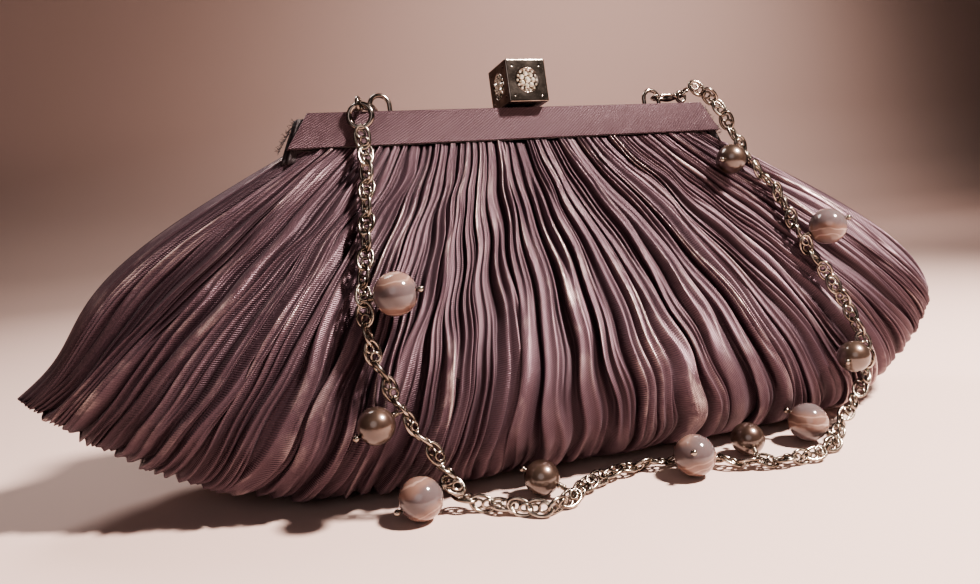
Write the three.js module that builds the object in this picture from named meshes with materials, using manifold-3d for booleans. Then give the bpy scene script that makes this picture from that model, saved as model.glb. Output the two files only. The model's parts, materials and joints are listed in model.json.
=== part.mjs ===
// Evening bag: a fan of pleated satin on a hinged metal frame, closed by a cube knob on a tilting
// lever, with a detachable bead-hung chain that lies in front of it.
// Millimetres. +X runs along the frame, +Y to the back, +Z up. The bag stands on its flat base.
import * as THREE from "three";
import { mergeVertices } from "three/addons/utils/BufferGeometryUtils.js";
import Module from "manifold-3d";

const wasm = await Module();
wasm.setup();

// ---- Driving dimensions ----
const GAP = 0.3; // between pieces that touch
const REACH = 200; // further than any piece goes, for tools that cut right through
const STANDING_HEIGHT = 110.3; // top front edge of the frame above the table
const LEAN = THREE.MathUtils.degToRad(10); // the frame leans back on the full body

const BAND = { top: 138.3, bottom: 151.9, height: 10, thickness: 6, wall: 2.4, lid: 1 };
const SEAM = 0.4; // between the two halves of the frame
const STEEL = { thickness: 2.6, bar: 7, leg: 4.6 };
const HINGE = { half: 88, drop: 38, ear: 4, plate: 1.2, bore: 1.1, pin: 0.95, head: 1 };
const FRAME_DEPTH = 2 * BAND.thickness + SEAM;
const HINGE_DEPTH = FRAME_DEPTH / 2;

const BODY = { half: 156, tip: 37, flat: 76, twist: 0.125, shift: 3, wall: 2.4, tuck: 9 };
const STIFFENER = { length: 150, width: 20, thickness: 2 };
const LINING = { wall: 1, inset: 3.9, top: 16, sideTop: 45, sideFrom: 62 };
const LINING_FLOOR = BODY.wall + STIFFENER.thickness + 4 * GAP;
const FLAP = { top: 77, bottom: 97, fold: 7, liningFold: 13, liningNarrow: 14 }; // half widths, folds

const NOTCH = { half: 5, steel: 5.6, rear: 6.9 }; // the clasp's cut-out in the tops of both halves
const PIVOT = { y: 4.3, z: -3.6, pin: 0.7, pinHalf: 7, bore: 0.8, boreHalf: 7.5, hub: 1.4 };
const CUBE = { side: 13.8, lift: 0.7, centre: 3.4 };
const ROSETTE = { radius: 3.9, height: 0.9, sunk: 0.4 };

const LOOP = { radius: 3, wire: 0.7, rise: 2.9, depth: 4.6, left: -46.4, right: 51.6 };
const CLAW = { length: 12.5, half: 3, thickness: 1.8, eye: 1.8, eyeWire: 0.6 };
const LEFT_RING = { radius: 3.4, wire: 0.8 };
const RIGHT_RING = { radius: 2, wire: 0.5 };
const CHAIN = { radius: 2, sides: 8, steps: 78 };
const AGATE = { radius: 6, bore: 0.6 };
const PEARL = { radius: 5, bore: 0.6 };
const HEADPIN = { radius: 0.4, ball: 0.9, collar: 0.8, spare: 0.3 };

// ---- Finishes ----
const finish = (color, roughness, metalness) =>
  new THREE.MeshStandardMaterial({ color, roughness, metalness });
const SATIN = finish(0x86717c, 0.45, 0);
const LINING_SATIN = finish(0x6f5f68, 0.5, 0);
const STEEL_GREY = finish(0x8d8d90, 0.4, 1);
const DARK_NICKEL = finish(0x77726f, 0.18, 1);
const CRYSTAL = finish(0xe9edf2, 0.05, 0);
const BOARD = finish(0xb9ab95, 0.9, 0);
const STONE = finish(0xc4a7a2, 0.25, 0);
const NACRE = finish(0x6e5548, 0.25, 0.3);

// ---- Solids ----
function solid(geometry) {
  const plain = geometry.clone();
  for (const name of ["normal", "uv"]) plain.deleteAttribute(name);
  const merged = mergeVertices(plain, 1e-4);
  const corners = [...merged.index.array];
  // Triangles that close to a line are left out.
  const whole = corners.filter((_, i) => {
    const [a, b, c] = corners.slice(i - (i % 3), i - (i % 3) + 3);
    return a !== b && b !== c && c !== a;
  });
  return new wasm.Manifold(
    new wasm.Mesh({
      numProp: 3,
      vertProperties: merged.attributes.position.array,
      triVerts: new Uint32Array(whole),
    }),
  );
}

function geometryOf(made) {
  const mesh = made.getMesh();
  return new THREE.BufferGeometry()
    .setAttribute("position", new THREE.BufferAttribute(mesh.vertProperties, 3))
    .setIndex(new THREE.BufferAttribute(mesh.triVerts, 1));
}

const cut = (base, ...tools) => geometryOf(tools.reduce((s, t) => s.subtract(solid(t)), solid(base)));
const join = (...parts) => geometryOf(parts.slice(1).reduce((s, t) => s.add(solid(t)), solid(parts[0])));
const common = (a, b) => geometryOf(solid(a).intersect(solid(b)));

// A block between two corners.
function block([x0, y0, z0], [x1, y1, z1]) {
  return new THREE.BoxGeometry(x1 - x0, y1 - y0, z1 - z0).translate(
    (x0 + x1) / 2,
    (y0 + y1) / 2,
    (z0 + z1) / 2,
  );
}

// An outline in X and Z, given depth from one Y to another.
function plateXZ(points, y0, y1) {
  const shape = new THREE.Shape(points.map(([x, z]) => new THREE.Vector2(x, z)));
  return new THREE.ExtrudeGeometry(shape, { depth: y1 - y0, bevelEnabled: false })
    .rotateX(Math.PI / 2)
    .translate(0, y1, 0);
}

// A cylinder lying along X.
function rodX(radius, x0, x1, y, z, sides = 12) {
  return new THREE.CylinderGeometry(radius, radius, x1 - x0, sides)
    .rotateZ(Math.PI / 2)
    .translate((x0 + x1) / 2, y, z);
}

function mesh(name, geometry, material) {
  const made = new THREE.Mesh(geometry, material);
  made.name = name;
  return made;
}

// Turns a geometry that points along +Z so that it points along a direction from a place.
function aim(geometry, place, direction) {
  const turn = new THREE.Quaternion().setFromUnitVectors(
    new THREE.Vector3(0, 0, 1),
    direction.clone().normalize(),
  );
  return geometry.applyQuaternion(turn).translate(place.x, place.y, place.z);
}

// ---- The frame's own axes: X along it, Y from its front to its back, Z up it ----
const bag = new THREE.Group();
const frame = new THREE.Group();
frame.position.z = STANDING_HEIGHT;
frame.rotation.x = -LEAN;
bag.add(frame);
bag.updateMatrixWorld(true);
const toTable = (x, y, z) => new THREE.Vector3(x, y, z).applyMatrix4(frame.matrixWorld);

// ---- Frame halves ----
// The front half has its face at Y = 0; the rear half is the same thing turned round.
function bandCover() {
  const outline = [
    [-BAND.bottom / 2, -BAND.height],
    [BAND.bottom / 2, -BAND.height],
    [BAND.top / 2, 0],
    [-BAND.top / 2, 0],
  ];
  const room = BAND.top / 2 - BAND.lid;
  const spread = (BAND.bottom - BAND.top) / 2;
  const inside = [
    [-room - spread * 1.2, -BAND.height * 1.2],
    [room + spread * 1.2, -BAND.height * 1.2],
    [room, -BAND.lid],
    [-room, -BAND.lid],
  ];
  return cut(
    plateXZ(outline, 0, BAND.thickness),
    plateXZ(inside, BAND.wall, BAND.thickness + 1),
  );
}

// A flat steel bar with two legs that spread to the hinge, each ending in an ear.
function steelBow(legEnd, earFrom) {
  const top = -BAND.lid - GAP;
  const half = BAND.top / 2 - BAND.lid - 3;
  const foot = HINGE.ear - 1 - HINGE.drop;
  const footTop = foot + 4;
  const legInside = legEnd - STEEL.leg * 0.6;
  const side = (sign) => [
    [sign * half, top],
    [sign * legEnd, footTop],
    [sign * legEnd, foot],
    [sign * legInside, foot],
    [sign * legInside, footTop],
    [sign * (half - STEEL.bar), top - STEEL.bar],
  ];
  const y0 = BAND.wall + 2 * GAP;
  const bow = plateXZ([...side(1), ...side(-1).reverse()], y0, y0 + STEEL.thickness);
  const ears = [-1, 1].map((sign) => {
    const [a, b] = [sign * earFrom, sign * (earFrom + HINGE.plate)].sort((p, q) => p - q);
    return rodX(HINGE.ear, a, b, HINGE_DEPTH, -HINGE.drop, 20);
  });
  return cut(join(bow, ...ears), rodX(HINGE.bore, -REACH, REACH, HINGE_DEPTH, -HINGE.drop));
}

const rearOf = (geometry) => geometry.rotateZ(Math.PI).translate(0, FRAME_DEPTH, 0);

const pivotBore = () => rodX(PIVOT.bore, -PIVOT.boreHalf, PIVOT.boreHalf, PIVOT.y, PIVOT.z);

function addFrame() {
  const notch = (from, depth) => block([-NOTCH.half, from, -depth], [NOTCH.half, FRAME_DEPTH, 1]);
  const frontLegEnd = HINGE.half + HINGE.plate;
  const rearEar = frontLegEnd + GAP;
  const rearLegEnd = rearEar + STEEL.leg * 0.6;
  const frontSteel = cut(
    steelBow(frontLegEnd, HINGE.half),
    notch(BAND.wall, NOTCH.steel),
    pivotBore(),
  );
  const rearSteel = cut(rearOf(steelBow(rearLegEnd, rearEar)), notch(HINGE_DEPTH, NOTCH.rear));
  const frontCover = cut(bandCover(), notch(BAND.wall, BAND.height / 2), ...loopHoles());
  frame.add(mesh("front_frame", frontSteel, STEEL_GREY));
  frame.add(mesh("rear_frame", rearSteel, STEEL_GREY));
  frame.add(mesh("front_band_cover", frontCover, SATIN));
  frame.add(mesh("rear_band_cover", rearOf(bandCover()), SATIN));
  for (const [name, sign] of [["left", -1], ["right", 1]]) {
    frame.add(mesh("hinge_rivet_" + name, hingeRivet(sign), STEEL_GREY));
    frame.add(mesh("side_gusset_" + name, sideGusset(sign), SATIN));
  }
}

// The folded raw end of the satin, between the two halves just outside the end of the frame.
function sideGusset(sign) {
  const outline = [[76.6, -10.2], [80, -10.2], [73.6, -1.2], [70.4, -1.2]];
  const turned = sign > 0 ? outline : outline.map(([x, z]) => [-x, z]).reverse();
  return plateXZ(turned, 1, BAND.thickness - 0.5);
}

// A rivet through both ears, with a head at each end.
function hingeRivet(sign) {
  const inner = HINGE.half - GAP;
  const outer = HINGE.half + 2 * (HINGE.plate + GAP);
  const into = 0.4; // the shank runs on into its heads
  const rod = (radius, a, b) => {
    const [x0, x1] = [sign * a, sign * b].sort((p, q) => p - q);
    return rodX(radius, x0, x1, HINGE_DEPTH, -HINGE.drop);
  };
  return join(
    rod(HINGE.pin, inner - into, outer + into),
    rod(HINGE.pin * 2, inner - HINGE.head, inner),
    rod(HINGE.pin * 2, outer, outer + HINGE.head),
  );
}

// ---- Pleated body: a lofted shell, full at the front and back and thin at its two wing tips ----
// Down the middle of a side: how far down in hundredths, and how far it stands out from the frame.
const FULL_HEIGHT = 100;
const FRONT_BULGE = [[0, 0], [15, 10.6], [35, 24], [55, 35.3], [72, 41.5], [86, 41.8], [96, 35], [100, 25]];
const REAR_BULGE = [[0, 0], [15, 7.3], [35, 16.4], [55, 24.4], [72, 30], [86, 30.6], [96, 25.6], [100, 18]];
const profileOf = (stations) => new THREE.SplineCurve(stations.map(([d, b]) => new THREE.Vector2(d, b)));
const FRONT = { profile: profileOf(FRONT_BULGE), sign: -1, edge: 0.2 };
const REAR = { profile: profileOf(REAR_BULGE), sign: 1, edge: FRAME_DEPTH - 0.2 };

const rimX = (across) => (BODY.half * Math.sin(1.45 * across)) / Math.sin(1.45);
const rimZ = (x) => BODY.tip * Math.max(0, (Math.abs(x) - BODY.flat) / (BODY.half - BODY.flat)) ** 1.85;

// across runs from -1 to 1, down from 0 at the frame to 1 at the rim. A skin lies some way inside the
// outer one, and some way above its base. The left wing is tucked in above its tip.
function clothPoint(side, across, down, { inset, floor }) {
  const station = side.profile.getPointAt(down);
  const drop = station.x / FULL_HEIGHT;
  const spread = Math.abs(across) ** 3;
  const fan = (1 - spread) * drop ** 1.1 + spread * Math.sin((drop * Math.PI) / 2);
  const edge = toTable((BAND.bottom / 2) * across, side.edge - side.sign * inset, -BAND.height - GAP);
  const rim = rimX(across);
  const tuck = BODY.tuck * Math.max(0, -across) ** 6 * Math.sin(Math.PI * drop ** 2.8);
  const x = edge.x + (rim + BODY.shift - edge.x) * fan + tuck;
  const z = edge.z + (rimZ(rim) - edge.z) * drop;
  const fullness = (1 - across ** 2) ** 0.85;
  const out = station.y * fullness - inset * drop;
  const y = edge.y * (1 - drop) - BODY.twist * x * drop + side.sign * out;
  return new THREE.Vector3(x, y, z + floor * drop ** 4);
}

// The ring round the cloth at one height: along the front, then back along the rear.
function clothRing(columns, reach, down, skin) {
  const crowd = 1.35; // radians: more columns near the wing tips
  const steps = Array.from({ length: columns }, (_, i) => (2 * i) / (columns - 1) - 1);
  const spaced = steps.map((step) => (reach * Math.sin(step * crowd)) / Math.sin(crowd));
  return [
    ...spaced.map((across) => clothPoint(FRONT, across, down, skin)),
    ...spaced.map((across) => clothPoint(REAR, across, down, skin)).reverse(),
  ];
}

// Rings joined one after the other, with the first and the last closed flat between front and rear.
function loft(rings) {
  const n = rings[0].length;
  const index = [];
  for (let k = 0; k + 1 < rings.length; k++) {
    for (let i = 0; i < n; i++) {
      const [a, b] = [k * n + i, k * n + ((i + 1) % n)];
      index.push(a, b, b + n, a, b + n, a + n);
    }
  }
  const last = (rings.length - 1) * n;
  for (let i = 0; i + 1 < n / 2; i++) {
    const [j, m] = [n - 1 - i, n - 2 - i];
    index.push(i, j, m, i, m, i + 1);
    index.push(last + i, last + i + 1, last + m, last + i, last + m, last + j);
  }
  const geometry = new THREE.BufferGeometry().setFromPoints(rings.flat());
  geometry.setIndex(index);
  return geometry;
}

// A shell with an open mouth: its outside from the base up, then its inside back down. The inside
// stops short of the wing tips by a share of the width, less at the mouth than at the rim.
function clothShell({ columns, rows }, outer, inner) {
  const downs = Array.from({ length: rows + 1 }, (_, i) => i / rows);
  const skinRing = (skin) => (down) => clothRing(columns, 1 - skin.short * (0.4 + 0.6 * down), down, skin);
  return loft([...downs.map(skinRing(outer)).reverse(), ...downs.map(skinRing(inner))]);
}

// The space of the rear that swings with the rear half of the frame, down to a level.
function flapSpace(bottom, grow, narrow = 0) {
  const over = 5; // above the top of the frame
  const slope = (FLAP.bottom - FLAP.top) / (HINGE.drop - BAND.height);
  const half = (z) => FLAP.top + grow - narrow + slope * (-z - BAND.height);
  const outline = [
    [-half(-bottom), -bottom],
    [half(-bottom), -bottom],
    [half(over), over],
    [-half(over), over],
  ];
  return plateXZ(outline, HINGE_DEPTH - grow, REACH).applyMatrix4(frame.matrixWorld);
}

// All that is higher than a level below the frame's top, between two places along it.
function above(level, x0 = -REACH, x1 = REACH) {
  return block([x0, -REACH, -level], [x1, REACH, REACH]).applyMatrix4(frame.matrixWorld);
}

// What the lining leaves free: the frame's tops, and its legs at both sides.
function aboveLining() {
  const { top, sideTop, sideFrom } = LINING;
  return join(above(top), above(sideTop, -REACH, -sideFrom), above(sideTop, sideFrom));
}

function addCloth() {
  const skin = clothShell(
    { columns: 23, rows: 11 },
    { inset: 0, floor: 0, short: 0 },
    { inset: BODY.wall, floor: BODY.wall, short: 0.06 },
  );
  const slit = 0.6; // between the flap and the body
  bag.add(mesh("pleated_body", cut(skin, flapSpace(HINGE.drop + FLAP.fold, slit)), SATIN));
  bag.add(mesh("rear_flap", common(skin, flapSpace(HINGE.drop, 0)), SATIN));

  const inner = clothShell(
    { columns: 15, rows: 7 },
    { inset: LINING.inset, floor: LINING_FLOOR, short: 0.12 },
    { inset: LINING.inset + LINING.wall, floor: LINING_FLOOR + LINING.wall, short: 0.15 },
  );
  const bodyLining = cut(inner, aboveLining(), flapSpace(HINGE.drop + FLAP.liningFold, slit));
  const flapPart = common(inner, flapSpace(HINGE.drop, 0, FLAP.liningNarrow));
  bag.add(mesh("body_lining", bodyLining, LINING_SATIN));
  bag.add(mesh("flap_lining", cut(flapPart, above(LINING.top)), LINING_SATIN));
}

// ---- Clasp: a lever that tips forward on its pin, with the cube as its knob ----
function cubeKnob() {
  const half = CUBE.side / 2;
  const floor = CUBE.lift;
  const y0 = CUBE.centre - half;
  const cube = block([-half, y0, floor], [half, y0 + CUBE.side, floor + CUBE.side]);
  const pockets = rosetteSeats().map(({ place, out }) => {
    const depth = 2 * (ROSETTE.sunk + GAP);
    const drill = new THREE.CylinderGeometry(ROSETTE.radius + GAP, ROSETTE.radius + GAP, depth, 20);
    return aim(drill.rotateX(Math.PI / 2), place, out);
  });
  return cut(cube, ...pockets);
}

function rosetteSeats() {
  const middle = new THREE.Vector3(0, CUBE.centre, CUBE.lift + CUBE.side / 2);
  const faces = { front: [0, -1, 0], rear: [0, 1, 0], left: [-1, 0, 0], right: [1, 0, 0], top: [0, 0, 1] };
  return Object.entries(faces).map(([name, direction]) => {
    const out = new THREE.Vector3(...direction);
    return { name, out, place: middle.clone().addScaledVector(out, CUBE.side / 2) };
  });
}

// A low dome of set stones, sunk a little in its pocket.
function rosette({ place, out }) {
  const [r, h] = [ROSETTE.radius, ROSETTE.height];
  const profile = [[0, 0], [r, 0], [r, h * 0.5], [r * 0.7, h * 0.9], [0, h]];
  const dome = new THREE.LatheGeometry(profile.map(([x, y]) => new THREE.Vector2(x, y)), 12);
  return aim(dome.rotateX(Math.PI / 2), place.clone().addScaledVector(out, -ROSETTE.sunk), out);
}

function claspLever() {
  const hub = rodX(PIVOT.hub, -3, 3, PIVOT.y, PIVOT.z);
  const stem = block([-1.6, 3.5, PIVOT.z], [1.6, 5.3, CUBE.lift - GAP]);
  const arm = block([-1.6, PIVOT.y, -4.2], [1.6, 8.7, -3]);
  const finger = block([-1.6, 7.7, -5.6], [1.6, 8.7, -3.6]);
  return cut(join(hub, stem, arm, finger), pivotBore());
}

// A coil round the pin beside the lever.
function claspSpring() {
  const profile = [[1.05, 3.3], [1.55, 3.3], [1.55, 4.7], [1.05, 4.7], [1.05, 3.3]];
  return new THREE.LatheGeometry(profile.map(([x, y]) => new THREE.Vector2(x, y)), 16)
    .rotateZ(-Math.PI / 2)
    .translate(0, PIVOT.y, PIVOT.z);
}

function addClasp() {
  frame.add(mesh("cube_knob", cubeKnob(), DARK_NICKEL));
  for (const seat of rosetteSeats()) {
    frame.add(mesh("crystal_rosette_" + seat.name, rosette(seat), CRYSTAL));
  }
  frame.add(mesh("clasp_lever", claspLever(), STEEL_GREY));
  const pin = rodX(PIVOT.pin, -PIVOT.pinHalf, PIVOT.pinHalf, PIVOT.y, PIVOT.z);
  frame.add(mesh("clasp_pin", pin, STEEL_GREY));
  frame.add(mesh("clasp_spring", claspSpring(), STEEL_GREY));
  const plate = block([-3, 6.9, -6.6], [3, 9.3, -5.95]);
  frame.add(mesh("clasp_catch", plate, STEEL_GREY));
}

// ---- Chain fittings ----
function ring(radius, wire) {
  return new THREE.TorusGeometry(radius, wire, 6, 16);
}

function tube(points, radius, steps, sides) {
  const section = new THREE.Shape();
  section.absarc(0, 0, radius, 0, 2 * Math.PI);
  return new THREE.ExtrudeGeometry(section, {
    steps,
    curveSegments: sides / 2,
    extrudePath: new THREE.CatmullRomCurve3(points, false, "centripetal"),
  });
}

function loopHoles() {
  return [LOOP.left, LOOP.right].flatMap((middle) =>
    [-1, 1].map((sign) => {
      const hole = new THREE.CylinderGeometry(LOOP.wire + GAP, LOOP.wire + GAP, 6, 10);
      return hole.rotateX(Math.PI / 2).translate(middle + sign * LOOP.radius, LOOP.depth, 0);
    }),
  );
}

// A wire hoop standing on the frame, its two feet let into the top of the band.
function frameLoop(middle) {
  const arc = Array.from({ length: 9 }, (_, i) => {
    const turn = (Math.PI * i) / 8;
    return [middle - LOOP.radius * Math.cos(turn), LOOP.rise + LOOP.radius * Math.sin(turn)];
  });
  const foot = -BAND.lid;
  const feet = [[middle - LOOP.radius, foot], ...arc, [middle + LOOP.radius, foot]];
  const points = feet.map(([x, z]) => new THREE.Vector3(x, LOOP.depth, z));
  return tube(points, LOOP.wire, 16, 6);
}

// A lobster claw, flat, from its swivel eye at the origin along +X to its nose.
function clawBody() {
  const [l, h, t] = [CLAW.length, CLAW.half, CLAW.thickness / 2];
  const outline = [[2.2, -1], [4.5, -h], [9.5, -h], [l - 0.8, -1.6], [l, 0.4], [l - 0.6, 2], [l - 1.6, h]];
  const inside = [
    [l - 1.6, 1.6], [l - 1.3, 0], [9.5, -1.9], [6.6, -1.9], [6, 0.9], [4.4, 1.1], [4.1, h], [2.2, 1],
  ];
  const shape = new THREE.Shape([...outline, ...inside].map(([x, y]) => new THREE.Vector2(x, y)));
  const body = new THREE.ExtrudeGeometry(shape, { depth: 2 * t, bevelEnabled: false }).translate(0, 0, -t);
  const neck = block([CLAW.eye, -0.7, -0.7], [3.4, 0.7, 0.7]);
  return join(body, neck, ring(CLAW.eye, CLAW.eyeWire).rotateX(Math.PI / 2));
}

function clawTrigger() {
  return block([4.8, 2, -0.6], [CLAW.length - 2, 2.9, 0.6]);
}

const CLAW_HOOKED = [9, -0.9, 0]; // where a loop's wire passes through a claw

function addFittings() {
  const sides = [
    { name: "left", loop: LOOP.left, leg: -1, turn: Math.PI / 3, height: 1.3 },
    { name: "right", loop: LOOP.right, leg: 1, turn: Math.PI, height: 3.1 },
  ];
  for (const { name, loop, leg, turn, height } of sides) {
    frame.add(mesh("frame_loop_" + name, frameLoop(loop), DARK_NICKEL));
    const claw = new THREE.Group();
    const hooked = new THREE.Vector3(...CLAW_HOOKED).applyAxisAngle(new THREE.Vector3(0, 0, 1), turn);
    claw.position.set(loop + leg * LOOP.radius, LOOP.depth, height).sub(hooked);
    claw.rotation.z = turn;
    claw.add(mesh("claw_body_" + name, clawBody(), DARK_NICKEL));
    claw.add(mesh("claw_trigger_" + name, clawTrigger(), DARK_NICKEL));
    claw.add(mesh("jump_ring_" + name, jumpRing(name), DARK_NICKEL));
    frame.add(claw);
  }
}

// The ring that joins a claw's eye to the chain: it hangs straight down on the left, and lies over
// towards the chain on the right.
function jumpRing(name) {
  const { radius, wire } = name === "left" ? LEFT_RING : RIGHT_RING;
  const down = ring(radius, wire).rotateY(Math.PI / 2).translate(0, 0, -radius);
  return name === "left" ? down : down.rotateY((Math.PI * 3) / 4);
}

// ---- Chain and beads ----
// The chain's middle line from the left ring down the front, along the table and up to the right ring.
const CHAIN_ROUTE = [
  [-55, -4.4, 102.6], [-54.9, -6, 98], [-56.1, -8.9, 90.4], [-57.9, -12.8, 82.2], [-59.7, -16.7, 74.1],
  [-61.6, -19.9, 67.2], [-63.3, -22.6, 61], [-64.1, -25.8, 53.6], [-64.1, -28.5, 47.2], [-62.9, -30.7, 41.6],
  [-61.2, -32.6, 36.6], [-59.3, -34.4, 31.6], [-57.2, -35.9, 26.8], [-54.4, -37, 22], [-51.2, -37.8, 17],
  [-48.6, -38, 11], [-46, -37.5, 5.4], [-42.5, -39.8, 2.5], [-36.5, -44.4, 2.4], [-31.9, -49.6, 2.4],
  [-26.4, -52.8, 2.4], [-19.5, -51.2, 2.4], [-11, -45.6, 2.4], [-1.7, -42.2, 2.4], [7.5, -41.4, 2.4],
  [16, -42.8, 2.4], [22.5, -43.8, 2.4], [29, -48.6, 2.4], [35, -55, 2.4], [42.8, -59, 2.4],
  [50.2, -61.4, 2.4], [58, -62, 2.4], [69.5, -58.2, 2.4], [78.5, -51.6, 3.2], [86, -48.2, 6.4],
  [92, -47.2, 11.4], [95.8, -46.6, 17], [97.2, -45.8, 22.6], [96.2, -44.4, 29.2], [94.8, -42.1, 35.9],
  [92.6, -38.7, 43.5], [90.4, -34.8, 50.8], [87.9, -30.1, 58.5], [86.9, -25.4, 66], [86.6, -21.6, 72],
  [86, -17.9, 78], [83.7, -14.4, 83.2], [81.3, -11, 88.4], [80.3, -7.7, 93.3], [79.3, -5, 98],
  [78, -2.6, 103.8], [76, -0.6, 109], [73.4, 1.6, 113], [70.4, 3.4, 115.4],
];
const chainLine = new THREE.CatmullRomCurve3(
  CHAIN_ROUTE.map((point) => new THREE.Vector3(...point)),
  false,
  "centripetal",
);

const AGATES = [
  [-56.2, -29.1, 60.1], [-56.5, -37.6, 6.2], [21.1, -52.4, 6.4], [67.2, -49.8, 6.6], [94.6, -32.3, 65.1],
];
const PEARLS = [
  [-66.4, -36.4, 27.8], [-22.3, -41, 5.5], [44, -48.6, 5.5], [69.6, -14.4, 89.6], [87.2, -49.4, 24.5],
];

// A bored ball standing on its hole.
function bead({ radius, bore }) {
  const rise = Math.sqrt(radius ** 2 - bore ** 2);
  const start = Math.atan2(bore, rise);
  const outer = Array.from({ length: 8 }, (_, i) => {
    const turn = start + ((Math.PI - 2 * start) * i) / 7;
    return new THREE.Vector2(radius * Math.sin(turn), -radius * Math.cos(turn));
  });
  return new THREE.LatheGeometry([...outer, outer[0].clone()], 12).rotateX(Math.PI / 2);
}

// A wire through a bead: a ball holds the bead on, and a wrapped collar reaches back to the chain.
function headpin(radius, reach) {
  const { radius: r, ball, collar, spare } = HEADPIN;
  const stop = radius + spare;
  const profile = [
    [0, -reach], [collar, -reach], [collar, -stop], [r, -stop], [r, stop],
    [ball, stop + ball * 0.5], [ball, stop + ball * 1.2], [0, stop + ball * 1.8],
  ];
  return new THREE.LatheGeometry(profile.map(([x, y]) => new THREE.Vector2(x, y)), 8)
    .rotateX(Math.PI / 2);
}

function nearestOnChain(place) {
  const points = chainLine.getSpacedPoints(600);
  return points.reduce((best, p) => (p.distanceTo(place) < best.distanceTo(place) ? p : best));
}

function addBeads(kind, size, places, material) {
  places.forEach((at, i) => {
    const place = new THREE.Vector3(...at);
    const away = place.clone().sub(nearestOnChain(place));
    const reach = away.length() - CHAIN.radius - GAP;
    const name = kind + "_bead_" + (i + 1);
    bag.add(mesh(name, aim(bead(size), place, away), material));
    bag.add(mesh(name + "_pin", aim(headpin(size.radius, reach), place, away), DARK_NICKEL));
  });
}

function addChain() {
  const chain = tube(chainLine.points, CHAIN.radius, CHAIN.steps, CHAIN.sides);
  bag.add(mesh("chain", chain, DARK_NICKEL));
  addBeads("agate", AGATE, AGATES, STONE);
  addBeads("pearl", PEARL, PEARLS, NACRE);
}

// ---- Base board, under the lining ----
function addStiffener() {
  const [l, w] = [STIFFENER.length / 2, STIFFENER.width / 2];
  const corners = [[-l, -w], [l, -w], [l, w], [-l, w]];
  const outline = corners.map(([x, y]) => new THREE.Vector2(x, y - 3 - BODY.twist * x));
  const board = new THREE.ExtrudeGeometry(new THREE.Shape(outline), {
    depth: STIFFENER.thickness,
    bevelEnabled: false,
  });
  bag.add(mesh("base_stiffener", board.translate(0, 0, BODY.wall + 2 * GAP), BOARD));
}

// ---- Assembly ----
addFrame();
addCloth();
addStiffener();
addClasp();
addFittings();
addChain();

// The origin is the middle of the base: the bag's own extent, without the chain and what hangs on it.
const extent = new THREE.Box3().setFromObject(bag.getObjectByName("pleated_body"));
const middle = extent.getCenter(new THREE.Vector3());
bag.position.set(-middle.x, -middle.y, 0);
bag.updateMatrixWorld(true);

export default bag;
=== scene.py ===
# %% [markdown]
# # Evening bag in pleated satin
# A fan-shaped clutch: one length of crinkle-pleated satin is gathered into two cloth-covered frame
# halves, and a cube on a tilting lever closes them. A bead-hung chain clips to two loops and lies
# down in front. The CAD model gives every place and every joint, and this notebook gives the
# finish: cloth as cloth, metal as metal, and a chain made of its own links.

# %% Load the CAD model and take its size
import json
import math

import bmesh
import bpy
import numpy as np
from mathutils import Matrix, Vector
from mathutils.kdtree import KDTree

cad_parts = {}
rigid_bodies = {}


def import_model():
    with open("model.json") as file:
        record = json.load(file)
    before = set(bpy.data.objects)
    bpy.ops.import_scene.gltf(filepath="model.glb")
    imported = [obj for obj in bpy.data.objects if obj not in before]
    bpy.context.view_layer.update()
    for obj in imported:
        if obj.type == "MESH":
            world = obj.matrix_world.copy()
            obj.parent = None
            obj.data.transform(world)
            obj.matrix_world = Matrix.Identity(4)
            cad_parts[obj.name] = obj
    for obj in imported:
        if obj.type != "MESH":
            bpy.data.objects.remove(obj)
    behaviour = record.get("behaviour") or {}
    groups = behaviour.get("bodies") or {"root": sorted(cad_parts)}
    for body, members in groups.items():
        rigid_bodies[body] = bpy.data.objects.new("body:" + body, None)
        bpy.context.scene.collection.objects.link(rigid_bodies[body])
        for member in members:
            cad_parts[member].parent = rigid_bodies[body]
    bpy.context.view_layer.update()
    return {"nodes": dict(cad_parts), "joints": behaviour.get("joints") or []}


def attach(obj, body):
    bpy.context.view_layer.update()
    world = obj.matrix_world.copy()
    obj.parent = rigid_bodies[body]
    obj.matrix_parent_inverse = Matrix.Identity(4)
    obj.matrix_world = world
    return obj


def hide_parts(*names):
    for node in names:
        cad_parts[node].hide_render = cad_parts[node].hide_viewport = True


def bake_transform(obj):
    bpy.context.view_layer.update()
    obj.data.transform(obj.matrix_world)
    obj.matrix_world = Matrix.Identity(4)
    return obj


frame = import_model()

# %% [markdown]
# ## The frame's own axes
# The real bag leans back on its full body, so its frame is tilted. Its pieces could be drawn tilted, but
# then every number would hide a sine. They are drawn upright, in millimetres, with X along the frame, Y
# from its front to its back and Z up it, and one matrix puts them in place.

# %% Shared dimensions and axes
MM = 0.001
LEAN = math.radians(10)
BODY_MIDDLE = Vector((-3.0, 4.611349, 0.0))  # moves the drawing's origin to the middle of the base
STANDING_HEIGHT = 110.3
TO_BAG = Matrix.Scale(MM, 4) @ Matrix.Translation(BODY_MIDDLE)
TO_FRAME = TO_BAG @ Matrix.Translation((0, 0, STANDING_HEIGHT)) @ Matrix.Rotation(-LEAN, 4, "X")
rng = np.random.default_rng(17)
print("the frame's top front edge is at", tuple(round(c, 4) for c in TO_FRAME @ Vector((0, 0, 0))))

# %% [markdown]
# ## Small tools
# Meshes could be made by operators, which need a selection and a mode, or from plain arrays of points
# and faces. Arrays are used, since they give the same result each run. Each new piece is put on the
# body that carries it, and says which CAD solid it stands for, so that the solid is left out.

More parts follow.
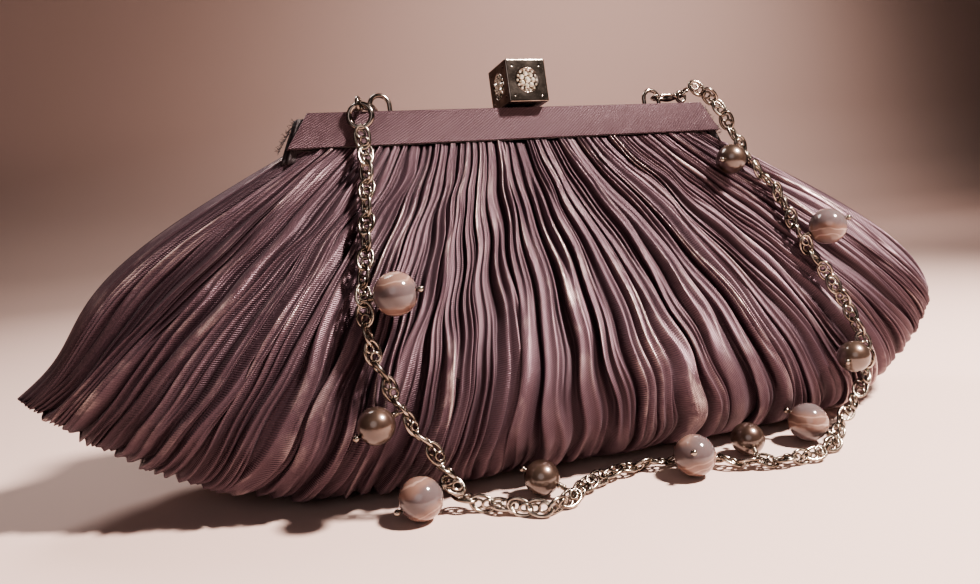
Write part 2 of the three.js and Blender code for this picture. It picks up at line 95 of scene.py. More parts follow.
# %% Mesh helpers
def new_object(name, mesh, material, body=None, stands_for=()):
    """A finished mesh as a piece, on its body, in place of its CAD solids."""
    made = bpy.data.objects.new(name, mesh)
    bpy.context.scene.collection.objects.link(made)
    mesh.materials.clear()
    mesh.materials.append(material)
    if body:
        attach(made, body)
    if stands_for:
        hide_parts(*stands_for)
    return made


def mesh_from(points, faces, place=None, smooth=True, uv=None, name="mesh"):
    """A mesh of points and faces, moved by a matrix; uv is one pair for each point."""
    mesh = bpy.data.meshes.new(name)
    mesh.from_pydata([tuple(p) for p in points], [], [tuple(f) for f in faces])
    if place is not None:
        mesh.transform(place)
    if uv is not None:
        layer = mesh.uv_layers.new(name="cloth")
        corner_vertices = np.empty(len(mesh.loops), dtype=np.int32)
        mesh.loops.foreach_get("vertex_index", corner_vertices)
        layer.data.foreach_set("uv", np.asarray(uv, np.float32)[corner_vertices].ravel())
    mesh.polygons.foreach_set("use_smooth", np.full(len(mesh.polygons), smooth))
    mesh.update()
    return mesh


def grid_faces(rows, columns, closed=False):
    """Quads of a grid of rows and columns of points; closed joins the last column to the first."""
    r, c = np.meshgrid(np.arange(rows - 1), np.arange(columns if closed else columns - 1), indexing="ij")
    a = r * columns + c
    b = r * columns + (c + 1) % columns
    return np.stack([a, b, b + columns, a + columns], axis=-1).reshape(-1, 4)


# %% Smooth lines, tubes and turned shapes
def smooth_path(points, count):
    """Evenly spaced points on a Catmull-Rom line through some points."""
    p = np.asarray(points, float)
    p = np.vstack([2 * p[:1] - p[1:2], p, 2 * p[-1:] - p[-2:-1]])
    t = np.linspace(0, 1, 24, endpoint=False)[:, None]
    pieces = []
    for a, b, c, d in zip(p[:-3], p[1:-2], p[2:-1], p[3:]):
        pieces.append(0.5 * (2 * b + (c - a) * t + (2 * a - 5 * b + 4 * c - d) * t**2
                             + (3 * b - a - 3 * c + d) * t**3))
    fine = np.vstack([*pieces, p[-2:-1]])
    run = np.r_[0, np.cumsum(np.linalg.norm(np.diff(fine, axis=0), axis=1))]
    at = np.linspace(0, run[-1], count)
    return np.stack([np.interp(at, run, fine[:, k]) for k in range(3)], axis=1)


def tube_arrays(path, radius, sides=10, closed=False):
    """Points and faces of a round tube along a path; radius may change along it."""
    path = np.asarray(path, float)
    count = len(path)
    ahead = np.roll(path, -1, axis=0) - np.roll(path, 1, axis=0)
    if not closed:
        ahead[0], ahead[-1] = path[1] - path[0], path[-1] - path[-2]
    ahead /= np.linalg.norm(ahead, axis=1)[:, None]
    up = np.cross(ahead[0], [0.3, 0.5, 0.81])
    ups = []
    for direction in ahead:
        up = up - direction * (up @ direction)
        up /= np.linalg.norm(up)
        ups.append(up)
    ups = np.array(ups)
    across = np.cross(ahead, ups)
    if closed:  # spreads the twist that is left over round the ring
        gap = math.atan2(ups[-1] @ across[0], ups[-1] @ ups[0])
        turn = -gap * np.arange(count)[:, None] / count
        ups, across = (ups * np.cos(turn) + across * np.sin(turn),
                       across * np.cos(turn) - ups * np.sin(turn))
    around = np.linspace(0, 2 * math.pi, sides, endpoint=False)
    radii = np.broadcast_to(np.asarray(radius, float), count)[:, None, None]
    ring = (ups[:, None] * np.cos(around)[None, :, None] + across[:, None] * np.sin(around)[None, :, None])
    points = (path[:, None] + ring * radii).reshape(-1, 3)
    faces = [tuple(f) for f in grid_faces(count, sides, closed=True)]
    if closed:
        last = (count - 1) * sides
        faces += [(last + i, last + (i + 1) % sides, (i + 1) % sides, i) for i in range(sides)]
    else:
        faces += [tuple(range(sides))[::-1], tuple(range((count - 1) * sides, count * sides))]
    return points, faces


def lathe_arrays(profile, sides=24):
    """Points and faces of a profile of (radius, height) pairs turned about Z."""
    around = np.linspace(0, 2 * math.pi, sides, endpoint=False)
    profile = np.asarray(profile, float)
    points = np.stack([profile[:, :1] * np.cos(around), profile[:, :1] * np.sin(around),
                       np.repeat(profile[:, 1:], sides, axis=1)], axis=-1).reshape(-1, 3)
    return points, [tuple(f) for f in grid_faces(len(profile), sides, closed=True)]


# %% Joining, cleaning and easing
def joined(*parts):
    """Several (points, faces) pairs as one."""
    points, faces, start = [], [], 0
    for p, f in parts:
        points.append(np.asarray(p, float))
        faces += [tuple(i + start for i in face) for face in f]
        start += len(p)
    return np.vstack(points), faces


def clean(mesh, distance=1e-6):
    """Welds doubled points and turns every face outwards."""
    bm = bmesh.new()
    bm.from_mesh(mesh)
    bmesh.ops.remove_doubles(bm, verts=bm.verts, dist=distance)
    bmesh.ops.recalc_face_normals(bm, faces=bm.faces)
    bm.to_mesh(mesh)
    bm.free()
    return mesh


def eased(node, width, segments=3, angle=30):
    """A CAD solid's mesh with its edges rounded off by a width in metres."""
    mesh = clean(frame["nodes"][node].data.copy())
    bm = bmesh.new()
    bm.from_mesh(mesh)
    flat = [e for e in bm.edges if len(e.link_faces) == 2 and e.calc_face_angle() < math.radians(2)]
    bmesh.ops.dissolve_edges(bm, edges=flat, use_verts=False)
    sharp = [e for e in bm.edges if len(e.link_faces) == 2 and e.calc_face_angle() > math.radians(angle)]
    bmesh.ops.bevel(bm, geom=sharp, offset=width, segments=segments, profile=0.5, affect="EDGES",
                    clamp_overlap=True)
    bm.to_mesh(mesh)
    bm.free()
    mesh.polygons.foreach_set("use_smooth", np.ones(len(mesh.polygons), bool))
    return mesh


def triangles(made):
    return sum(len(p.vertices) - 2 for p in made.data.polygons)


print("a tube of 10 sides and 5 rings has", len(tube_arrays(np.linspace((0, 0, 0), (4, 0, 0), 5), 1.0)[0]),
      "points")

# %% [markdown]
# ## Shader arithmetic
# Colours and bumps are worked out from places on the piece. Nodes could be linked one by one, but
# then a formula takes a page. A wrapper round a node's socket lets it be written as arithmetic.

# %% The socket wrapper
class Term:
    """A shader value that can be added, multiplied and compared."""

    def __init__(self, tree, socket):
        self.tree, self.socket = tree, socket

    def node(self, kind, inputs=None, output=0, **settings):
        """Any other node, its inputs given by name or number."""
        made = self.tree.nodes.new("ShaderNode" + kind)
        for key, value in settings.items():
            setattr(made, key, value)
        for key, value in (inputs or {}).items():
            if isinstance(value, Term):
                self.tree.links.new(value.socket, made.inputs[key])
            else:
                made.inputs[key].default_value = value
        return Term(self.tree, made.outputs[output])

    def math(self, operation, *others, clamp=False):
        values = dict(enumerate([self, *others]))
        return self.node("Math", values, operation=operation, use_clamp=clamp)

    def __add__(self, other): return self.math("ADD", other)
    def __sub__(self, other): return self.math("SUBTRACT", other)
    def __mul__(self, other): return self.math("MULTIPLY", other)
    def __radd__(self, other): return self + other
    def __rmul__(self, other): return self * other
    def __rsub__(self, other): return (self * -1) + other

    def sin(self): return self.math("SINE")
    def limited(self): return self.math("ADD", 0.0, clamp=True)

    def between(self, low, high):
        """0 below low, 1 above high, and smooth in between."""
        values = {"Value": self, "From Min": low, "From Max": high}
        return self.node("MapRange", values, interpolation_type="SMOOTHSTEP")

    def mix(self, first, second):
        """A colour between two colours, nearer the second as this value grows."""
        made = self.tree.nodes.new("ShaderNodeMix")
        made.data_type = "RGBA"
        for number, value in ((0, self), (6, first), (7, second)):
            if isinstance(value, Term):
                self.tree.links.new(value.socket, made.inputs[number])
            else:
                made.inputs[number].default_value = (*value, 1.0)
        return Term(self.tree, made.outputs[2])


# %% Materials and what they read
def new_material(name, **constants):
    """A Principled material with its constants set, and a wrapper round its object coordinates."""
    material = bpy.data.materials.new(name)
    material.use_nodes = True
    tree = material.node_tree
    surface = tree.nodes["Principled BSDF"]
    for key, value in constants.items():
        socket = surface.inputs[key.replace("_", " ")]
        colour = isinstance(value, tuple) and len(socket.default_value) == 4
        socket.default_value = (*value, 1.0) if colour else value
    place = tree.nodes.new("ShaderNodeTexCoord")
    return material, Term(tree, place.outputs["Object"]), surface


def feed(term, surface, name):
    term.tree.links.new(term.socket, surface.inputs[name])


def axes_of(place):
    """The X, Y and Z of a place in millimetres."""
    parts = [place.node("SeparateXYZ", {0: place}, output=k) for k in range(3)]
    return [part * 1000.0 for part in parts]


def noise(place, scale, detail=2.0):
    """Noise whose scale is in features per millimetre."""
    return place.node("TexNoise", {"Vector": place, "Scale": scale * 1000.0, "Detail": detail})


def bumped(height, surface, distance, strength=1.0):
    """Height from 0 to 1, raised by a distance in metres."""
    values = {"Height": height, "Distance": distance, "Strength": strength}
    feed(height.node("Bump", values), surface, "Normal")

# %% [markdown]
# ## Finishes
# Real satin is woven with its shiny threads lengthwise: it is dark looked into and bright along its
# folds. A picture of cloth could be wrapped on, but it would blur close up and show its repeats. The
# weave here is a sine across the cloth's own UV map, broken by noise, and each pleat's height, kept as
# an attribute, says where painted shade darkens the valleys and painted highlights light the folds' edges.

# %% Pleated satin
MAUVE = (0.140, 0.086, 0.106)
# Painted shade for the pleats' valleys, and the dark threads of the weave.
MAUVE_DARK = (0.038, 0.019, 0.027)
# A painted highlight, for the folds' edges and the patches of sheen.
MAUVE_PAINTED_HIGHLIGHT = (0.88, 0.71, 0.68)


def pleated_satin():
    """Painted shade in the valleys, painted highlights on the folds' edges and in patches of sheen, with the
    weave over all.
    """
    material, place, surface = new_material(
        "pleated_satin", Metallic=0.6, Anisotropic=0.6, Sheen_Weight=0.08, Sheen_Roughness=0.4,
        Sheen_Tint=(0.9, 0.75, 0.82), Specular_IOR_Level=0.6)
    ridge = place.node("Attribute", output=2, attribute_name="ridge")
    cloth = place.node("UVMap", uv_map="cloth")
    across, along, _ = [cloth.node("SeparateXYZ", {0: cloth}, output=k) for k in range(3)]
    streaks = place.node("CombineXYZ", {0: across * 2.6, 1: along * 0.22, 2: 0.0})
    crinkle = place.node("TexNoise", {"Vector": streaks, "Scale": 1.0, "Detail": 4.0, "Roughness": 0.6})
    patches = place.node("CombineXYZ", {0: across * 0.22, 1: along * 0.10, 2: 3.0})
    sheen_patch = place.node("TexNoise", {"Vector": patches, "Scale": 1.0, "Detail": 3.0, "Roughness": 0.6})
    grain = place.node("CombineXYZ", {0: across * 2.6, 1: along * 1.9, 2: 1.0})
    fleck = place.node("TexNoise", {"Vector": grain, "Scale": 1.0, "Detail": 2.0, "Roughness": 0.7})
    twill = (along * 10.2 + across * 7.6 + crinkle * 3.0).sin() * 0.5 + 0.5
    weave = twill * 0.55 + fleck * 0.45
    # Painted shade: the lower a place lies in its pleat, the darker it is painted.
    shade = ridge.between(0.0, 0.8).mix(MAUVE_DARK, MAUVE)
    # Painted highlights: thin bright lines along the crests.
    crest = ridge.between(0.90, 1.0) * (crinkle.between(0.3, 0.65) * 0.65 + 0.35)
    # Painted highlights: patches of sheen on the raised parts of the pleats.
    shine = crest + ridge.between(0.5, 1.0) * sheen_patch.between(0.45, 0.66) * crinkle * 0.7
    lit = (shine.limited() * 0.9).mix(shade, MAUVE_PAINTED_HIGHLIGHT)
    feed((weave.between(0.3, 0.75) * 0.5).mix(lit, MAUVE_DARK), surface, "Base Color")
    feed(0.36 + crinkle * 0.12 - ridge.between(0.6, 1.0) * 0.16, surface, "Roughness")
    bumped(crinkle * 0.55 + weave * 0.45, surface, 0.00038, 0.9)
    return material


SATIN = pleated_satin()
print("made", SATIN.name, "with", len(SATIN.node_tree.nodes), "nodes")


# %% Twill satin, plain cloth and board
def band_satin():
    """Twill: its fine ribs run down to the right across the face."""
    material, place, surface = new_material(
        "band_satin", Metallic=0.45, Anisotropic=0.4, Sheen_Weight=0.15, Sheen_Roughness=0.4,
        Sheen_Tint=(0.9, 0.75, 0.82), Specular_IOR_Level=0.5)
    x, y, z = axes_of(place)
    wander = noise(place, 0.5, 3.0)
    ribs = ((x * 0.8 + z * 1.5 + y * 1.2) * 7.4 + wander * 2.5).sin() * 0.5 + 0.5
    shade = (ribs * 0.8).mix((0.040, 0.020, 0.027), (0.128, 0.073, 0.088))
    feed((wander * 0.4).mix(shade, (0.080, 0.045, 0.056)), surface, "Base Color")
    feed(0.28 + wander * 0.16, surface, "Roughness")
    puckers = noise(place, 0.12, 3.0)
    bumped(ribs * 0.22 + puckers * 0.78, surface, 0.0011, 0.9)
    return material


def plain_cloth(name, colour, dark, sheen=0.2):
    material, place, surface = new_material(name, Roughness=0.55, Sheen_Weight=sheen)
    x, y, z = axes_of(place)
    weave = ((x + y) * 9.0).sin() * (z * 9.0 + y * 4.0).sin() * 0.5 + 0.5
    feed((weave * 0.4 + noise(place, 0.08) * 0.3).mix(colour, dark), surface, "Base Color")
    bumped(weave, surface, 0.00012, 0.6)
    return material


def pressed_board():
    material, place, surface = new_material("board", Roughness=0.9)
    specks = noise(place, 0.9, 5.0)
    feed(specks.mix((0.36, 0.29, 0.22), (0.58, 0.5, 0.4)), surface, "Base Color")
    bumped(specks, surface, 0.00015, 0.5)
    return material


BAND_SATIN = band_satin()
LINING = plain_cloth("lining_satin", (0.17, 0.115, 0.145), (0.09, 0.058, 0.076))
# The cut edge is coloured near black: dark cloth, with painted shade for its shadowed place under the band's
# end.
RAW_EDGE = plain_cloth("raw_edge", (0.022, 0.013, 0.016), (0.008, 0.004, 0.006), sheen=0.0)
BOARD = pressed_board()

# %% Metals
def plated(name, colour, recess, roughness, wear=0.08):
    """Nickel plate: bright, with darker patches of the recess colour laid by a noise cloud, and faint
    scratches.
    """
    material, place, surface = new_material(name, Metallic=1.0, Roughness=roughness)
    cloud = noise(place, 0.25, 4.0)
    scratch = noise(place, 2.2, 3.0)
    feed(cloud.between(0.35, 0.7).mix(recess, colour), surface, "Base Color")
    feed(roughness + cloud * wear + scratch.between(0.55, 0.8) * wear, surface, "Roughness")
    bumped(scratch, surface, 0.00002, 0.5)
    return material


FRAME_STEEL = plated("frame_steel", (0.52, 0.5, 0.48), (0.38, 0.36, 0.34), 0.32)
DARK_NICKEL = plated("dark_nickel", (0.37, 0.32, 0.285), (0.19, 0.16, 0.14), 0.14, 0.08)
CHAIN_METAL = plated("chain_metal", (0.54, 0.48, 0.41), (0.20, 0.17, 0.145), 0.15, 0.1)

# %% Crystal, agate and pearl
def cut_crystal():
    material, place, surface = new_material(
        "crystal", Metallic=0.55, Roughness=0.03, Coat_Weight=1.0, Coat_Roughness=0.01)
    sparkle = noise(place, 0.8, 1.0)
    feed(sparkle.between(0.35, 0.65).mix((0.62, 0.55, 0.42), (0.98, 0.93, 0.82)), surface, "Base Color")
    return material


def banded_agate(seed):
    """Bands wrap round a hidden middle, so each bead is cut across them another way."""
    material, place, surface = new_material(
        f"agate_{seed}", Roughness=0.12, Coat_Weight=0.6, Coat_Roughness=0.04,
        Subsurface_Weight=0.25, Subsurface_Radius=(0.004, 0.002, 0.0018), Subsurface_Scale=1.0)
    x, y, z = axes_of(place)
    turns = rng.uniform(-1, 1, 3)
    wander = noise(place, 0.13, 2.0)
    layer = x * float(turns[0]) * 0.35 + y * float(turns[1]) * 0.35 + z * 0.95 + wander * 4.0
    wide = (layer * 0.62).sin() * 0.5 + 0.5
    fine = (layer * 2.9).sin() * 0.5 + 0.5
    grey = wide.between(0.2, 0.8).mix((0.125, 0.098, 0.100), (0.215, 0.135, 0.112))
    white = (fine.between(0.78, 1.0) * wide.between(0.5, 0.9) * 0.45).mix(grey, (0.50, 0.37, 0.31))
    feed(white, surface, "Base Color")
    return material


def bronze_pearl():
    material, place, surface = new_material(
        "bronze_pearl", Metallic=0.62, Coat_Weight=1.0, Coat_Roughness=0.15, Coat_IOR=1.8)
    cloud = noise(place, 0.3, 3.0)
    nacre = noise(place, 0.12, 2.0).between(0.35, 0.65).mix((0.062, 0.036, 0.027), (0.098, 0.068, 0.052))
    feed((cloud.between(0.4, 0.8) * 0.3).mix(nacre, (0.20, 0.12, 0.08)), surface, "Base Color")
    feed(0.32 + cloud * 0.1, surface, "Roughness")
    return material


CRYSTAL = cut_crystal()
PEARL = bronze_pearl()
print(len(bpy.data.materials), "finishes made")

# %% [markdown]
# ## Pleated cloth
# One length of satin is crinkle-pleated, then gathered along the frame. It could be a cloth simulation,
# but pleats this fine need millions of points to hold their folds. A bumped skin would have a smooth
# outline. So each fold is real geometry: the cloth keeps the CAD body's loft, and pleats of uneven width
# are pressed into it. Each has a rounded crest and a sharp valley, leans over its neighbour, and swells
# and sinks along its length. The valleys go in from the CAD skin, so the crests are where the solid is.

# %% The loft
BAND_HALF = 75.95
BAND_HEIGHT = 10.3
FRAME_DEPTH = 12.4
FRONT_BULGE = [[0, 0], [15, 10.6], [35, 24], [55, 35.3], [72, 41.5], [86, 41.8], [96, 35], [100, 25]]
REAR_BULGE = [[0, 0], [15, 7.3], [35, 16.4], [55, 24.4], [72, 30], [86, 30.6], [96, 25.6], [100, 18]]
RIM_HALF, RIM_CURL = 156, 1.45  # half the width at the rim, and how much it bends round to the tips
WING_START, WING_LENGTH, WING_LIFT = 76, 80, 37  # where the rim leaves the table, and how far it rises
TUCK = 9  # how far the left wing's side is drawn in
PLEATS = 52
DEEPEST = 3.6  # the lining hangs at least 3.9 mm inside the skin
SEAM_DEPTH, RIM_DEPTH = 1.8, 4.0  # how deep the valleys are at the frame and at the rim


def profile_table(stations):
    line = smooth_path([[d, b, 0] for d, b in stations], 400)
    return line[:, 0] / 100, line[:, 1]


FRONT_PROFILE = profile_table(FRONT_BULGE)
REAR_PROFILE = profile_table(REAR_BULGE)


def loft(across, down, rear=False):
    """Places on the outside of the body in millimetres, in the bag's own axes."""
    table, sign, edge_y = (REAR_PROFILE, 1, FRAME_DEPTH - 0.2) if rear else (FRONT_PROFILE, -1, 0.2)
    steps = np.linspace(0, 1, 400)
    drop, out = np.interp(down, steps, table[0]), np.interp(down, steps, table[1])
    spread = np.abs(across) ** 3
    fan = (1 - spread) * drop**1.1 + spread * np.sin(drop * math.pi / 2)
    meeting = np.clip((np.abs(across) - 0.86) / 0.14, 0, 1) ** 2  # front and rear meet along each wing
    edge_y = edge_y + (FRAME_DEPTH / 2 - edge_y) * meeting
    edge_x = BAND_HALF * across
    mouth_y = edge_y * math.cos(LEAN) - BAND_HEIGHT * math.sin(LEAN)
    mouth_z = STANDING_HEIGHT - edge_y * math.sin(LEAN) - BAND_HEIGHT * math.cos(LEAN)
    rim = RIM_HALF * np.sin(RIM_CURL * across) / math.sin(RIM_CURL)
    rim_z = WING_LIFT * np.maximum(0, (np.abs(rim) - WING_START) / WING_LENGTH) ** 1.85
    tuck = TUCK * np.sin(math.pi * drop**2.8) * np.clip(-across, 0, 1) ** 6
    x = edge_x + (rim + 3 - edge_x) * fan + tuck
    z = mouth_z + (rim_z - mouth_z) * drop
    full = np.clip(1 - across**2, 0, 1) ** 0.85
    y = mouth_y * (1 - drop) - 0.125 * x * drop + sign * out * full
    return np.stack([x, y, z], axis=-1)


widest = max(FRONT_PROFILE[1]) + max(REAR_PROFILE[1])
print(f"the body is lofted {2 * RIM_HALF} mm wide and about {widest:.0f} mm deep")


# %% Each pleat's own character
def waves(at, count, low, high):
    """A smooth random line made of a few sines, about 1 in size."""
    total = np.zeros_like(at)
    for _ in range(count):
        total = total + np.sin(at * rng.uniform(low, high) * 2 * math.pi + rng.uniform(0, 2 * math.pi))
    return total / math.sqrt(count)


pleat_widths = rng.uniform(0.6, 1.5, PLEATS)
pleat_starts = np.r_[0, np.cumsum(pleat_widths)] / pleat_widths.sum() * 2 - 1
RUN = np.linspace(0, 2.2, 221)  # along the cloth: 1 at the front rim, 1.2 at the rear rim, 2.2 at the top
pleat_swell = np.clip([0.84 + 0.2 * waves(RUN, 4, 0.3, 2.2) for _ in range(PLEATS)], 0.35, 1.15)
pleat_lean = np.array([0.36 * waves(RUN, 4, 0.2, 1.4) for _ in range(PLEATS)])
pleat_warp = np.array([0.05 * waves(RUN, 4, 0.4, 2.4) for _ in range(PLEATS)])
shape_pull = 1.9 * np.array([[waves(RUN, 4, 0.3, 1.8) for _ in range(PLEATS)] for _ in range(4)])
shape_share = np.exp(shape_pull) / np.exp(shape_pull).sum(axis=0)
sway_phases = rng.uniform(0, 2 * math.pi, 16)

# Heights across one pleat, from valley to valley, at each of its columns.
SPOTS = [0, 0.045, 0.085, 0.13, 0.22, 0.33, 0.43, 0.49, 0.55, 0.61, 0.67, 0.73, 0.79, 0.85, 0.91, 0.96]
SECTIONS = np.array([
    [0, 0.55, 0.93, 1.0, 0.90, 0.86, 0.92, 1.0, 0.93, 0.45, 0.12, 0.38, 0.50, 0.30, 0.06, 0.02],  # broad
    [0, 0.50, 0.88, 0.95, 0.80, 0.35, 0.08, 0.20, 0.62, 0.95, 1.0, 0.90, 0.70, 0.40, 0.15, 0.03],  # pair
    [0, 0.65, 0.92, 0.80, 0.30, 0.06, 0.45, 0.85, 0.90, 0.40, 0.08, 0.30, 0.78, 0.86, 0.40, 0.08],  # three
    [0, 0.38, 0.62, 0.78, 0.93, 1.0, 0.98, 0.93, 0.86, 0.78, 0.66, 0.52, 0.38, 0.24, 0.12, 0.04],  # round
])


at_mouth = BAND_HALF * np.diff(pleat_starts)
print(f"{PLEATS} pleats, {at_mouth.min():.1f} to {at_mouth.max():.1f} mm wide where they leave the band")


# %% Pressing the pleats into the cloth
def sway(across, run):
    """How far the pleats wander sideways on their way down, as a share of the width."""
    bent = np.sin(run * 3.4 + across * 5 + sway_phases[0]) * 0.010
    for k in range(6):
        rate, lag = 12 + 5.5 * k, 7 + 6 * k
        size = 0.0037 / (1 + 0.2 * k) * (0.5 + 0.5 * np.sin(across * (5 + 2 * k) + sway_phases[k + 8]))
        size = size * (1 + 1.3 * np.exp(-((run - 0.16) / 0.14) ** 2))
        bent = bent + size * np.sin(run * rate + across * lag + sway_phases[k + 1])
    down = np.clip(run, 0, 1)
    right_s = np.exp(-((across - 0.40) / 0.30) ** 2) * np.sin(down * math.pi) * 0.070
    left_s = -np.exp(-((across + 0.30) / 0.25) ** 2) * np.sin(down * math.pi) * 0.012
    return (bent + right_s + left_s) * (1 - across**2) * np.clip(run * 7, 0, 1)


def per_pleat(table, pleat, run):
    """A value of each pleat at a place along it, from its table."""
    at = np.clip(run, 0, 2.2) / 2.2 * (len(RUN) - 1)
    low = np.clip(at.astype(int), 0, len(RUN) - 2)
    share = at - low
    return table[pleat, low] * (1 - share) + table[pleat, low + 1] * share


def pleated(across, run):
    """Places on the pleated cloth, how deep each is, and how near it is to its crest."""
    pleat = np.clip(np.searchsorted(pleat_starts, across + 1e-9, side="right") - 1, 0, PLEATS - 1)
    width = pleat_starts[pleat + 1] - pleat_starts[pleat]
    f = np.clip((across - pleat_starts[pleat]) / width, 0, 1)
    spots = [*SPOTS, 1.0]
    crest = sum(per_pleat(shape_share[k], pleat, run) * np.interp(f, spots, [*SECTIONS[k], 0])
                for k in range(len(SECTIONS)))
    height = crest * per_pleat(pleat_swell, pleat, run)
    lean = per_pleat(pleat_lean, pleat, run) * crest + per_pleat(pleat_warp, pleat, run)
    edge = np.clip((1 - np.abs(across)) * 9, 0, 1)
    turned = np.exp(-((run - 1.08) / 0.14) ** 2)  # 1 where the pleats turn under the rim
    settled = np.clip(run * 12, 0.25, 1) * edge * (1 - 0.75 * turned)
    place = on_cloth(np.clip(across + lean * width * settled + sway(across, run), -1, 1), run)
    reach = np.clip(np.minimum(run, 2.2 - run), 0, 1)
    depth = (SEAM_DEPTH + (RIM_DEPTH - SEAM_DEPTH) * np.clip(reach * 1.6, 0, 1) ** 0.8) * edge
    depth = depth * np.clip(width / (2 / PLEATS), 0.65, 1.2) * (1 - 0.45 * turned)
    return place, np.minimum((1 - height) * depth, DEEPEST), height


def on_cloth(across, run):
    """Places on the smooth cloth: down the front, under the base and up the rear."""
    front = loft(across, np.clip(run, 0, 1))
    rear = loft(across, np.clip(2.2 - run, 0, 1), rear=True)
    under = np.clip((run - 1) / 0.2, 0, 1)[..., None]
    return front * (1 - under) + rear * under


def inwards(across, run):
    """The direction into the cloth, from the smooth surface's own slopes."""
    step = 0.004
    a0, a1 = np.clip(across - step, -1, 1), np.clip(across + step, -1, 1)
    r0, r1 = np.clip(run - step, 0, 2.2), np.clip(run + step, 0, 2.2)
    side = on_cloth(a1, run) - on_cloth(a0, run)
    fall = on_cloth(across, r1) - on_cloth(across, r0)
    normal = np.cross(side, fall)
    length = np.linalg.norm(normal, axis=-1, keepdims=True)
    return normal / np.where(length < 1e-9, 1, length)


# %% The front and the base
def cloth_columns(spots):
    """Columns across the cloth, the same spots in every pleat."""
    inside = pleat_starts[:-1, None] + np.diff(pleat_starts)[:, None] * np.asarray(spots)
    return np.r_[inside.ravel(), 1.0]


COLUMNS = cloth_columns(SPOTS)


def pleated_sheet(name, run, keep=None):
    """A stretch of the pleated cloth as a mesh; keep says which faces stay, by their middles."""
    across, down = np.meshgrid(COLUMNS, run)
    place, depth, height = pleated(across, down)
    place = place + inwards(across, down) * depth[..., None]
    faces = grid_faces(len(run), len(COLUMNS))
    flat = place.reshape(-1, 3)
    if keep is not None:
        faces = faces[keep(on_cloth(across, down).reshape(-1, 3)[faces].mean(axis=1))]
    used = np.unique(faces)
    renumber = np.full(len(flat), -1)
    renumber[used] = np.arange(len(used))
    uv = np.stack([across * 150, down * 115], axis=-1).reshape(-1, 2)[used]
    mesh = mesh_from(flat[used], renumber[faces], TO_BAG, uv=uv, name=name)
    ridge = mesh.attributes.new("ridge", "FLOAT", "POINT")
    ridge.data.foreach_set("value", height.reshape(-1)[used].astype(np.float32))
    return mesh


front_run = np.r_[np.linspace(0, 0.06, 6), np.linspace(0.07, 1, 96), np.linspace(1.01, 1.2, 13)]
front_pleats = new_object("front_pleats", pleated_sheet("front_pleats", front_run), SATIN, "bag",
                          ["pleated_body"])
print("front pleats:", triangles(front_pleats), "triangles")

# %% [markdown]
# The rear is two pieces. On the bag a flap of it is sewn to the rear half of the frame and swings with
# it, and the rest stays with the body. One piece would tear where the frame opens, and two stiff ones
# would part along their seam. Here the flap is a mesh of its own, put on no body.

# %% The rear of the body and its flap
HINGE_DROP = 38.0
TO_FRAME_AXES = np.array((Matrix.Rotation(LEAN, 4, "X") @ Matrix.Translation((0, 0, -STANDING_HEIGHT))))


def in_frame_axes(points):
    return points @ TO_FRAME_AXES[:3, :3].T + TO_FRAME_AXES[:3, 3]


def on_flap(points, foot=HINGE_DROP + 8, grow=0.0):
    """Whether places are in the part of the rear that swings with the frame."""
    p = in_frame_axes(points)
    half = 77 + grow + (97 - 77) / 28 * (-p[:, 2] - 10)
    return (np.abs(p[:, 0]) < half) & (p[:, 2] > -foot)


rear_run = np.r_[np.linspace(1.2, 2.13, 84), np.linspace(2.14, 2.2, 6)]
rear_pleats = new_object("rear_pleats", pleated_sheet("rear_pleats", rear_run,
                         keep=lambda p: ~on_flap(p)), SATIN, "bag")
flap_mesh = pleated_sheet("rear_flap_pleats", rear_run, keep=lambda p: on_flap(p, HINGE_DROP + 10))
flap_pleats = new_object("rear_flap_pleats", flap_mesh, SATIN, None, ["rear_flap"])
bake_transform(flap_pleats)
print("rear pleats:", triangles(rear_pleats), "and flap:", triangles(flap_pleats), "triangles")

# %% [markdown]
# ## Linings and board
# The lining is a smooth bag hung inside the pleats, with a board under its floor. A new mesh could be
# lofted for it, but the CAD solid has the shape already. It is kept with its edges eased, drawn in a
# little so that the valleys of the pleats clear it.

# %% Lining, board and frame pieces
def drawn_in(mesh, share=0.11, wings=0.42, ends=0.07):
    """A lining is cut smaller than its bag: its points move towards the middle of the bag's depth."""
    across, down = np.meshgrid(np.linspace(-1, 1, 121), np.linspace(0, 1, 41))
    middle = ((loft(across, down) + loft(across, down, rear=True)) / 2).reshape(-1, 3)
    near = KDTree(len(middle))
    for k, (x, _, z) in enumerate(middle):
        near.insert((x, 0, z), k)
    near.balance()
    to_local = TO_BAG.inverted()
    for vertex in mesh.vertices:
        place = to_local @ vertex.co
        k = near.find((place.x, 0, place.z))[1]
        wing = np.clip((abs(across.flat[k]) - 0.55) / 0.4, 0, 1) ** 1.5
        hung = min(1, down.flat[k] * 8)
        depth = middle[k][1] + (place.y - middle[k][1]) * (1 - (share + wings * wing) * hung)
        vertex.co = TO_BAG @ Vector((place.x * (1 - ends * wing * hung), depth, place.z))
    return mesh


new_object("body_lining_cloth", drawn_in(eased("body_lining", 0.0003, 2)), LINING, "bag",
           ["body_lining"])
new_object("flap_lining_cloth", drawn_in(eased("flap_lining", 0.0003, 2)), LINING, "rear_half",
           ["flap_lining"])
carried = {
    "base_stiffener": BOARD,
    "front_frame": FRAME_STEEL,
    "rear_frame": FRAME_STEEL,
    "hinge_rivet_left": FRAME_STEEL,
    "hinge_rivet_right": FRAME_STEEL,
    "clasp_lever": FRAME_STEEL,
    "clasp_pin": FRAME_STEEL,
    "clasp_catch": FRAME_STEEL,
}
for node, material in carried.items():
    data = frame["nodes"][node].data
    data.materials.clear()
    data.materials.append(material)
print("CAD solids shown as they are:", ", ".join(carried))

